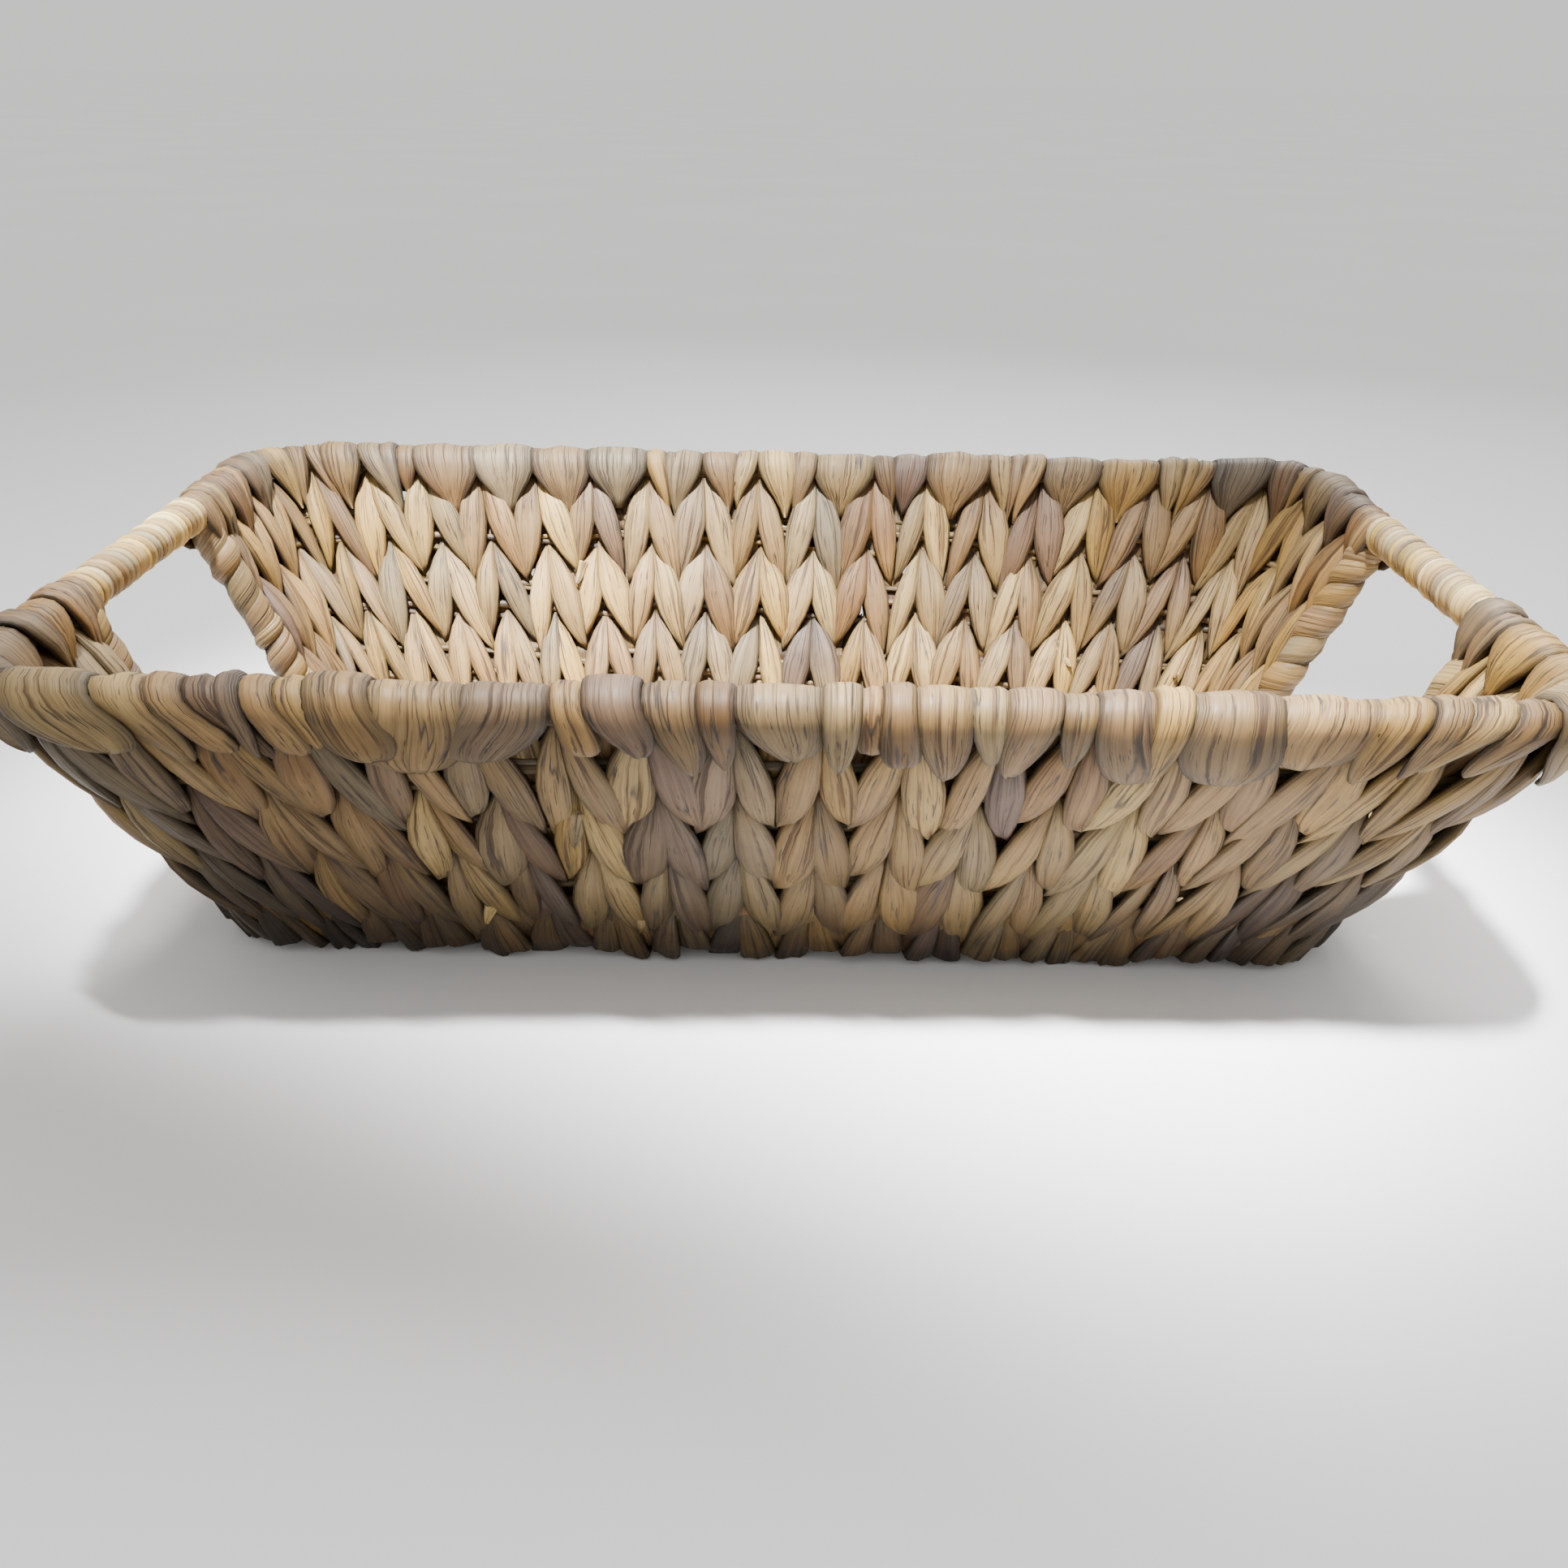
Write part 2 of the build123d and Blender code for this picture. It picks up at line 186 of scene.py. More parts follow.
@dataclass
class LongWall(Surface):
    """The front or the back wall with its corners, as far as the posts of the hand openings."""

    side: int = -1
    post_y: float = 0.049
    spread: float = 1.3

    @property
    def reach(self) -> float:
        """Length of the rim from the middle of the wall to the post."""
        return self.rim.reach(self.post_y)

    @property
    def foot_reach(self) -> float:
        """Length of the foot ring from the middle of the wall to the post."""
        return self.foot.reach(self.post_y)

    def edges(self, s: np.ndarray) -> tuple[np.ndarray, ...]:
        """Foot points, foot directions, rim points and rim directions at s."""
        distance = np.abs(s)
        along = self.foot_reach * (1 - np.maximum(1 - distance / self.reach, 0) ** self.spread)
        end = np.where(s < 0, -1.0, 1.0)
        turned = np.stack([end, np.full_like(s, self.side), np.ones_like(s)], axis=-1)
        low, low_out = self.foot.quarter(along)
        high, high_out = self.rim.quarter(distance)
        return low * turned, low_out * turned, high * turned, high_out * turned


@dataclass
class EndWall(Surface):
    """The middle of an end wall, below a hand opening; s runs along Y."""

    end: int = 1

    def edges(self, s: np.ndarray) -> tuple[np.ndarray, ...]:
        """Foot points, foot directions, rim points and rim directions at s."""
        out = np.stack([np.full_like(s, self.end), np.zeros_like(s), np.zeros_like(s)], axis=-1)
        low, high = (
            np.stack([np.full_like(s, self.end * ring.half_length), s, np.full_like(s, ring.z)], axis=-1)
            for ring in (self.foot, self.rim)
        )
        return low, out, high, out


@dataclass
class Floor:
    """The floor: s runs along X, v along Y from the middle, h up."""

    foot: Ring

    def place(self, s: np.ndarray, v: np.ndarray, h: np.ndarray) -> np.ndarray:
        """Points of the floor in the frame's axes, as an (n, 3) array."""
        return np.stack([s, v, self.foot.z + h], axis=-1)


# ------------------------------------------------------------------------------------------ meshes


def deselect_all() -> None:
    """Leaves no object selected or active."""
    bpy.ops.object.select_all(action="DESELECT")
    bpy.context.view_layer.objects.active = None


@dataclass
class StrandBlank:
    """A closed round strip, modelled once: every strand is a shaped copy of it.

    Each point has a share along the strip and an angle round it; each face corner has the same two
    values, unrolled so that no face crosses the seam.
    """

    along: np.ndarray
    angle: np.ndarray
    quads: np.ndarray
    fans: np.ndarray
    quad_flat: np.ndarray
    fan_flat: np.ndarray

    @classmethod
    def model(cls, sides: int, steps: int) -> "StrandBlank":
        """Models the blank from a cylinder whose sides are cut into rings.

        Args:
            sides: number of sides round the strip.
            steps: number of faces along it.

        Returns:
            The blank.
        """
        deselect_all()
        bpy.ops.mesh.primitive_cylinder_add(
            vertices=sides, radius=1, depth=1, end_fill_type="TRIFAN", location=(0, 0, 0.5)
        )
        obj = bpy.context.active_object
        bpy.ops.object.transform_apply(location=True, rotation=True, scale=True)
        bpy.context.tool_settings.mesh_select_mode = (False, True, False)
        bpy.ops.object.mode_set(mode="EDIT")
        bpy.ops.mesh.select_all(action="DESELECT")
        bpy.ops.object.mode_set(mode="OBJECT")
        points = obj.data.vertices
        for edge in obj.data.edges:
            first, last = (points[k].co for k in edge.vertices)
            edge.select = abs(first.z - last.z) > 0.5
        bpy.ops.object.mode_set(mode="EDIT")
        bpy.ops.mesh.subdivide(number_cuts=steps - 1)
        bpy.ops.object.mode_set(mode="OBJECT")
        blank = cls.read(obj.data)
        bpy.data.objects.remove(obj)
        return blank

    @classmethod
    def read(cls, mesh: bpy.types.Mesh) -> "StrandBlank":
        """Reads a modelled mesh into arrays."""
        points = np.array([tuple(point.co) for point in mesh.vertices])
        angle = np.mod(np.arctan2(points[:, 1], points[:, 0]), 2 * math.pi)
        pole = np.hypot(points[:, 0], points[:, 1]) < 0.5
        faces = [list(face.vertices) for face in mesh.polygons]
        quads, fans = (np.array([face for face in faces if len(face) == corners]) for corners in (4, 3))
        flat = []
        for group in (quads, fans):
            at_pole = pole[group]
            turns = np.where(at_pole, np.nan, angle[group])
            behind = turns < np.nanmax(turns, 1, keepdims=True) - math.pi
            turns = np.where(behind, turns + 2 * math.pi, turns)
            turns = np.where(at_pole, np.nanmean(turns, 1, keepdims=True), turns)
            share = points[:, 2][group]
            past = np.where(share > 0.5, POLE_MARGIN, -POLE_MARGIN)
            flat.append(np.stack([turns / (2 * math.pi), share + past * at_pole], axis=-1))
        return cls(points[:, 2].copy(), angle, quads, fans, *flat)


@dataclass
class StrandMesh:
    """Many shaped strands gathered into one mesh."""

    blank: StrandBlank
    points: list[np.ndarray] = field(default_factory=list)
    colours: list[np.ndarray] = field(default_factory=list)
    grains: list[tuple[float, float, float, float]] = field(default_factory=list)

    def add(
        self, points: np.ndarray, colour: np.ndarray, width: float, length: float, rng: np.random.Generator
    ) -> None:
        """Adds one strand.

        Args:
            points: the blank's points in their place.
            colour: the strand's colour at each point, as an (n, 3) array.
            width: length round the strand, for its grain.
            length: length along the strand, for its grain.
            rng: source of the grain's offset.
        """
        self.points.append(points)
        self.colours.append(colour)
        self.grains.append((width, length, rng.uniform(0, 10), rng.uniform(0, 10)))

    def turned_out(self, points: np.ndarray) -> bool:
        """Whether the blank's faces point outwards in this place."""
        corners = points[self.blank.quads]
        middle = points.mean(0)
        across = np.cross(corners[:, 2] - corners[:, 0], corners[:, 3] - corners[:, 1])
        return float(((corners.mean(1) - middle) * across).sum()) > 0

    def build(self, name: str) -> bpy.types.Object:
        """Joins the strands into one object with its grain, bake and colour layers.

        Args:
            name: the piece's name.

        Returns:
            The object, linked to the scene, at the origin.
        """
        blank = self.blank
        count = len(self.points)
        columns = max(1, round(math.sqrt(count * 1.4)))
        rows = math.ceil(count / columns)
        quad_index, fan_index, quad_uv, fan_uv, quad_bake, fan_bake = [], [], [], [], [], []
        for k, points in enumerate(self.points):
            order = slice(None) if self.turned_out(points) else slice(None, None, -1)
            width, length, first, second = self.grains[k]
            cell = np.array([(k % columns) / columns, (k // columns) / rows])
            margin = CELL_MARGIN * np.array([1 / columns, 1 / rows])
            size = np.array([1 / columns, 1 / rows]) - 2 * margin
            for faces, flat, index, grain, bake in (
                (blank.quads, blank.quad_flat, quad_index, quad_uv, quad_bake),
                (blank.fans, blank.fan_flat, fan_index, fan_uv, fan_bake),
            ):
                index.append(faces[:, order] + k * len(points))
                turned = flat[:, order]
                grain.append(turned * [width, length] + [first, second])
                low, high = flat[..., 0].min(), flat[..., 0].max()
                round_share = (turned[..., 0] - low) / max(high - low, 1.0)
                along_share = (turned[..., 1] + POLE_MARGIN) / (1 + 2 * POLE_MARGIN)
                bake.append(cell + margin + np.stack([round_share, along_share], axis=-1) * size)
        mesh = bpy.data.meshes.new(name)
        points = np.concatenate(self.points)
        quads, fans = np.concatenate(quad_index), np.concatenate(fan_index)
        mesh.vertices.add(len(points))
        mesh.vertices.foreach_set("co", points.astype(np.float32).ravel())
        loops = np.concatenate([quads.ravel(), fans.ravel()])
        mesh.loops.add(len(loops))
        mesh.loops.foreach_set("vertex_index", loops.astype(np.int32))
        starts = np.concatenate([np.arange(len(quads)) * 4, quads.size + np.arange(len(fans)) * 3])
        mesh.polygons.add(len(starts))
        mesh.polygons.foreach_set("loop_start", starts.astype(np.int32))
        mesh.update(calc_edges=True)
        self.add_layer(mesh, "Grain", quad_uv, fan_uv)
        self.add_layer(mesh, "OFBake", quad_bake, fan_bake)
        colours = np.concatenate(self.colours)
        layer = mesh.color_attributes.new("strand_colour", "FLOAT_COLOR", "POINT")
        layer.data.foreach_set("color", np.c_[colours, np.ones(len(colours))].astype(np.float32).ravel())
        mesh.polygons.foreach_set("use_smooth", np.ones(len(starts), dtype=bool))
        mesh.validate()
        obj = bpy.data.objects.new(name, mesh)
        bpy.context.scene.collection.objects.link(obj)
        return obj

    @staticmethod
    def add_layer(mesh: bpy.types.Mesh, name: str, quads: list[np.ndarray], fans: list[np.ndarray]) -> None:
        """Writes one UV layer from the corners of the quads and of the fans."""
        corners = np.concatenate([np.concatenate(quads).reshape(-1, 2), np.concatenate(fans).reshape(-1, 2)])
        layer = mesh.uv_layers.new(name=name)
        layer.data.foreach_set("uv", corners.astype(np.float32).ravel())


# ----------------------------------------------------------------------------------------- colours


def linear(red: int, green: int, blue: int) -> np.ndarray:
    """A display colour, 0 to 255, as linear light."""
    value = np.array([red, green, blue]) / 255
    return np.where(value <= 0.04045, value / 12.92, ((value + 0.055) / 1.055) ** 2.4)


class Dye(Enum):
    """The colours that dried strands come in, with how often each turns up."""

    TAN = (142, 116, 76, 0.30)
    STRAW = (154, 125, 62, 0.19)
    PALE = (168, 146, 98, 0.17)
    GREY = (116, 104, 82, 0.13)
    MAUVE = (96, 77, 66, 0.12)
    BROWN = (116, 86, 47, 0.12)

    @property
    def colour(self) -> np.ndarray:
        """The dye as linear light."""
        return linear(*self.value[:3])

    @classmethod
    def pick(cls, rng: np.random.Generator) -> np.ndarray:
        """A dye drawn by how often it turns up, as linear light."""
        dyes = list(cls)
        shares = np.array([dye.value[3] for dye in dyes])
        return dyes[rng.choice(len(dyes), p=shares / shares.sum())].colour


def strand_colours(
    base: np.ndarray, along: np.ndarray, shade: np.ndarray, rng: np.random.Generator
) -> np.ndarray:
    """The colour of a strand at each point: its own dye, drifting to another along its length.

    Args:
        base: the column's dye.
        along: each point's share along the strand.
        shade: painted shade, how much of its colour each point keeps; a strand's edges are shaded darker.
        rng: source of the drift.

    Returns:
        Colours as an (n, 3) array.
    """
    own = base + (Dye.pick(rng) - base) * rng.uniform(0.1, 0.95)
    far = own + (Dye.pick(rng) - own) * rng.uniform(0.0, 0.6)
    share = smooth((along - rng.uniform(0.0, 0.6)) * 2)[:, None]
    return (own + (far - own) * share) * rng.uniform(0.68, 1.20) * shade[:, None]


# ----------------------------------------------------------------------------------------- strands


@dataclass(frozen=True)
class LeafShape:
    """The shape of one visible strand between the place where it comes up and where it goes under."""

    column: float
    length: float
    thickness: float
    crest: float
    root: float
    tip: float
    roundness: float = 0.95
    hold: float = 0.55
    fullness: float = 1.12
    unevenness: float = 1.0
    overlap: float = 0.25 * MM
    sway: float = 0.7 * MM
    roll: float = 0.22
    folds: int = 3
    fold_depths: tuple[float, float] = (0.15 * MM, 0.75 * MM)
    fold_width: float = 0.2

    def points(
        self, blank: StrandBlank, rng: np.random.Generator
    ) -> tuple[np.ndarray, np.ndarray, np.ndarray, np.ndarray]:
        """The blank's points as a leaf that starts at a column's middle line and ends at its edge.

        Args:
            blank: the blank to shape.
            rng: source of the creases and of the differences between leaves.

        Returns:
            Places across, along (negative, because a leaf hangs down from its start) and out, and the
            painted shade: how much of its colour each point keeps.
        """
        even = np.clip(blank.along, 0, 1)
        t = np.clip(even - 0.07 * np.sin(2 * math.pi * even), 0, 1)
        wobble = rng.uniform(-1, 1, 9) * self.unevenness
        hold = self.hold * (1 + 0.12 * wobble[0])
        power = self.roundness * (1 + 0.18 * wobble[1])
        outer = np.sin(np.clip(t / hold, 0, 1) * math.pi / 2) ** 0.9
        inner = 1 - np.sin(np.clip((1 - t) / hold, 0, 1) * math.pi / 2) ** power
        reach = self.column * (1.02 + 0.14 * wobble[2])
        centre = reach * (outer + inner) / 2 + self.sway * wobble[3]
        half = reach * (outer - inner) / 2 * (self.fullness + 0.15 * wobble[4]) + self.overlap
        across = bowed(np.cos(blank.angle), 0.85)
        out = np.sin(blank.angle)
        arch = np.clip(np.sin(t * math.pi), 0, 1)
        body = self.thickness / 2 * (0.40 + 0.60 * arch ** 0.7)
        lift = np.clip(np.sin(math.pi * t ** (1.1 + 0.25 * wobble[5])), 0, 1) ** 0.8
        rest = self.root + (self.tip - self.root) * t
        middle = rest + (self.crest * (1 + 0.16 * wobble[6]) - rest) * lift
        places = rng.uniform(-0.75, 0.75, self.folds)
        depths = rng.uniform(*self.fold_depths, self.folds)
        drifts = rng.uniform(-0.5, 0.5, self.folds)
        lines = [place + drift * (t - 0.5) for place, drift in zip(places, drifts)]
        crease = crease_depth(across, depths, lines, self.fold_width)
        roll = self.roll * wobble[7] * across * half
        top = np.maximum(out, 0)
        height = middle + body * bowed(out, 0.8) - crease * top * arch ** 0.5 + roll
        # Painted shade: darker underneath, where the leaf comes from under the one above, and at its tip.
        root_shade = 0.62 + 0.38 * smooth(t / 0.3)
        tip_shade = 0.7 + 0.3 * smooth((1 - t) / 0.14)
        shade = (0.32 + 0.70 * top ** 0.6) * root_shade * tip_shade
        return centre + half * across, -self.length * (1 + 0.09 * wobble[8]) * t, height, shade


@dataclass
class Weave:
    """Strands in columns over rows of cores, on one face or both faces of a surface."""

    surface: Surface | Floor
    blank: StrandBlank
    foot_painted_shade: float = 0.0
    unshaded_from: float = 82.0 * MM
    corner_painted_shade: float = 0.0
    corner_from: float = 125.0 * MM
    corner_run: float = 60.0 * MM
    most_painted_shade: float = 0.9
    painted_shade_tint: tuple[float, float, float] = (0.94, 0.96, 1.0)
    floor_clearance: float = 0.1 * MM
    shift: float = 0.8 * MM
    backing_shade: float = 0.48
    stub_rise: float = 4.6 * MM
    grain_width: float = 26.0 * MM

    def lay(self, s: np.ndarray, v: np.ndarray, h: np.ndarray) -> np.ndarray:
        """Points of the surface, kept above the ground that the basket stands on."""
        points = self.surface.place(s, v, h)
        points[:, 2] = np.maximum(points[:, 2], self.floor_clearance)
        return points

    def add_leaf(
        self,
        mesh: StrandMesh,
        shape: LeafShape,
        s: float,
        top: float,
        lean: int,
        face: int,
        colour: np.ndarray,
        rng: np.random.Generator,
    ) -> None:
        """Adds one leaf to a mesh.

        Args:
            mesh: the mesh that gathers the strands.
            shape: the leaf's shape.
            s: the column's middle line.
            top: where the leaf starts, up the slope.
            lean: -1 if the leaf goes to lower s on its way down, 1 if to higher s.
            face: 1 for the outer face, -1 for the inner face.
            colour: the column's dye.
            rng: source of the small differences between leaves.
        """
        across, down, out, shade = shape.points(self.blank, rng)
        shift = rng.normal(0, self.shift) * shape.unevenness
        points = self.lay(s + lean * across, top + shift + down, face * out)
        colours = strand_colours(colour, self.blank.along, shade, rng)
        # Painted shade on the outer face: darker towards the foot and round the corners, where less light
        # falls.
        if face > 0:
            painted_shade = self.foot_painted_shade * (1 - smooth((top + down) / self.unshaded_from))
            painted_shade = painted_shade + self.corner_painted_shade * smooth((abs(s) - self.corner_from) / self.corner_run)
            colours = colours * (1 - np.minimum(painted_shade, self.most_painted_shade)[:, None] * np.array(self.painted_shade_tint))
        mesh.add(points, colours, self.grain_width, shape.length, rng)

    def add_backing(
        self,
        mesh: StrandMesh,
        s: float,
        low: float,
        high: float,
        width: float,
        rng: np.random.Generator,
        lift: float = 0.0,
    ) -> None:
        """Adds one flat strand between the two faces, where it crosses the cores.

        Args:
            mesh: the mesh that gathers the strands.
            s: the strand's middle line.
            low: where it ends, up the slope.
            high: where it starts.
            width: its full width.
            rng: source of its waves.
            lift: how far out of the wall it lies.
        """
        t = np.clip(self.blank.along, 0, 1)
        wave, sway = rng.uniform(0, 2 * math.pi, 2)
        taper = np.sin(np.clip(t, 0.02, 0.98) * math.pi) ** 0.25
        half = width / 2 * (0.8 + 0.2 * np.sin(9 * t + sway)) * taper
        level = lift + 0.5 * MM * np.sin(11 * t + wave) + 0.6 * MM * np.sin(self.blank.angle)
        place = s + half * np.cos(self.blank.angle) + 0.8 * MM * np.sin(7 * t + wave)
        points = self.lay(place, high + (low - high) * t, level)
        # Painted shade: strands between the faces and under the foot are darkened for the shade over them.
        colours = strand_colours(Dye.BROWN.colour, t, np.full_like(t, self.backing_shade), rng)
        mesh.add(points, colours, 2 * width, abs(high - low), rng)

    def add_stub(self, mesh: StrandMesh, s: float, v: float, face: int, rng: np.random.Generator) -> None:
        """Adds the loose end of a strand, which stands out of the weave and curls.

        Args:
            mesh: the mesh that gathers the strands.
            s: where it comes out, along the rim.
            v: the same, up the slope.
            face: 1 for the outer face, -1 for the inner face.
            rng: source of its length and curl.
        """
        t = np.clip(self.blank.along, 0, 1)
        length, width = rng.uniform(10, 18) * MM, rng.uniform(3, 6) * MM
        heading = rng.uniform(-0.9, 0.9)
        curl = rng.uniform(0.9, 2.4)
        half = width / 2 * (1 - 0.75 * t ** 2)
        rise = self.stub_rise + length / curl * (1 - np.cos(curl * t)) * 0.5
        ahead = -length / curl * np.sin(curl * t)
        side = half * np.cos(self.blank.angle)
        out = rise + 0.5 * MM * (1 - 0.6 * t) * np.sin(self.blank.angle) - side ** 2 / width * 1.2
        points = self.lay(
            s + side * math.cos(heading) - ahead * math.sin(heading),
            v + ahead * math.cos(heading) + side * math.sin(heading),
            face * out,
        )
        # Painted shade: each stub is darkened as a whole, like the shaded strands round it.
        shade = np.full_like(t, rng.uniform(0.5, 0.85))
        mesh.add(points, strand_colours(Dye.PALE.colour, t, shade, rng), 2 * width, length, rng)


@dataclass
class WallRows:
    """The rows of a wall, as shares of its slope.

    Starts are measured down from the rim ring; the ends of the strands between the faces, up from the
    foot ring.
    """

    starts: tuple[float, ...] = (0.01, 0.285, 0.535, 0.785)
    lengths: tuple[float, ...] = (0.42, 0.395, 0.395, 0.40)
    backings: tuple[tuple[float, float], ...] = ((0.06, 0.34), (0.30, 0.60), (0.56, 0.80), (0.76, 0.98))


@dataclass
class LongWallWeave:
    """The woven front or back wall with its two corners, as three pieces."""

    surface: LongWall
    blank: StrandBlank
    seed: int
    columns: int = 24
    panel_columns: int = 13
    rows: WallRows = field(default_factory=WallRows)
    missing_share: float = 0.10
    stubs: int = 9
    turn_under: float = 21.0 * MM
    turn_lift: float = 3.4 * MM

    @property
    def side_name(self) -> str:
        """The side's name in the frame's nodes."""
        return "front" if self.surface.side < 0 else "back"

    @property
    def column(self) -> float:
        """Width of one column at the rim."""
        return self.surface.reach / (self.columns / 2)

    def shape(self, face: int, row: int) -> LeafShape:
        """The leaf of one row on one face."""
        length = self.rows.lengths[row] * self.surface.slope
        half = self.column / 2
        if face > 0:
            leaf = {"thickness": 4.6 * MM, "crest": 4.6 * MM, "root": 0.0, "tip": 2.8 * MM}
            return LeafShape(half, length, **leaf, roundness=0.44, hold=0.66)
        leaf = {"thickness": 4.0 * MM, "crest": 4.3 * MM, "root": 0.0, "tip": 0.6 * MM}
        return LeafShape(half, length, **leaf, roundness=0.85, hold=0.64, unevenness=0.8)

    def band(self, s: float) -> int:
        """Which of the three pieces a place along the rim is in."""
        if abs(s) < self.panel_columns / 2 * self.column:
            return 1
        return 0 if s < 0 else 2

    def build(self) -> dict[str, bpy.types.Object]:
        """Weaves the wall.

        Returns:
            The pieces by the frame node that each one stands for.
        """
        rng = np.random.default_rng(self.seed)
        weave = Weave(self.surface, self.blank, foot_painted_shade=0.82, corner_painted_shade=0.3)
        side = self.side_name
        names = (f"left_{side}_corner", f"{side}_wall", f"right_{side}_corner")
        meshes = [StrandMesh(self.blank) for _ in names]
        for k in range(self.columns):
            s = (k - (self.columns - 1) / 2) * self.column
            mesh = meshes[self.band(s)]
            for face in (1, -1):
                colour = Dye.pick(rng)
                for row, start in enumerate(self.rows.starts):
                    top = (1 - start) * self.surface.slope
                    for lean in (-1, 1):
                        weave.add_leaf(mesh, self.shape(face, row), s, top, lean, face, colour, rng)
        self.add_backing(weave, meshes, rng)
        for _ in range(self.stubs):
            s = rng.uniform(-0.9, 0.9) * self.surface.reach
            v = rng.uniform(0.15, 0.75) * self.surface.slope
            weave.add_stub(meshes[self.band(s)], s, v, rng.choice((1, -1)), rng)
        return {f"{name}_strands": mesh.build(f"{name}_weave") for name, mesh in zip(names, meshes)}

    def add_backing(self, weave: Weave, meshes: list[StrandMesh], rng: np.random.Generator) -> None:
        """Adds the strands between the faces, and leaves a few out so that light comes through.

        Args:
            weave: the weave that adds them.
            meshes: the three pieces.
            rng: source of the places left out.
        """
        slope, column = self.surface.slope, self.column
        for k in range(2 * self.columns - 1):
            s = (k / 2 + 0.5 - self.columns / 2) * column
            mesh = meshes[self.band(s)]
            for low, high in self.rows.backings:
                if rng.uniform() > self.missing_share:
                    weave.add_backing(mesh, s, low * slope, high * slope, 0.62 * column, rng)
            weave.add_backing(mesh, s, -self.turn_under, 0.24 * slope, 0.8 * column, rng, self.turn_lift)


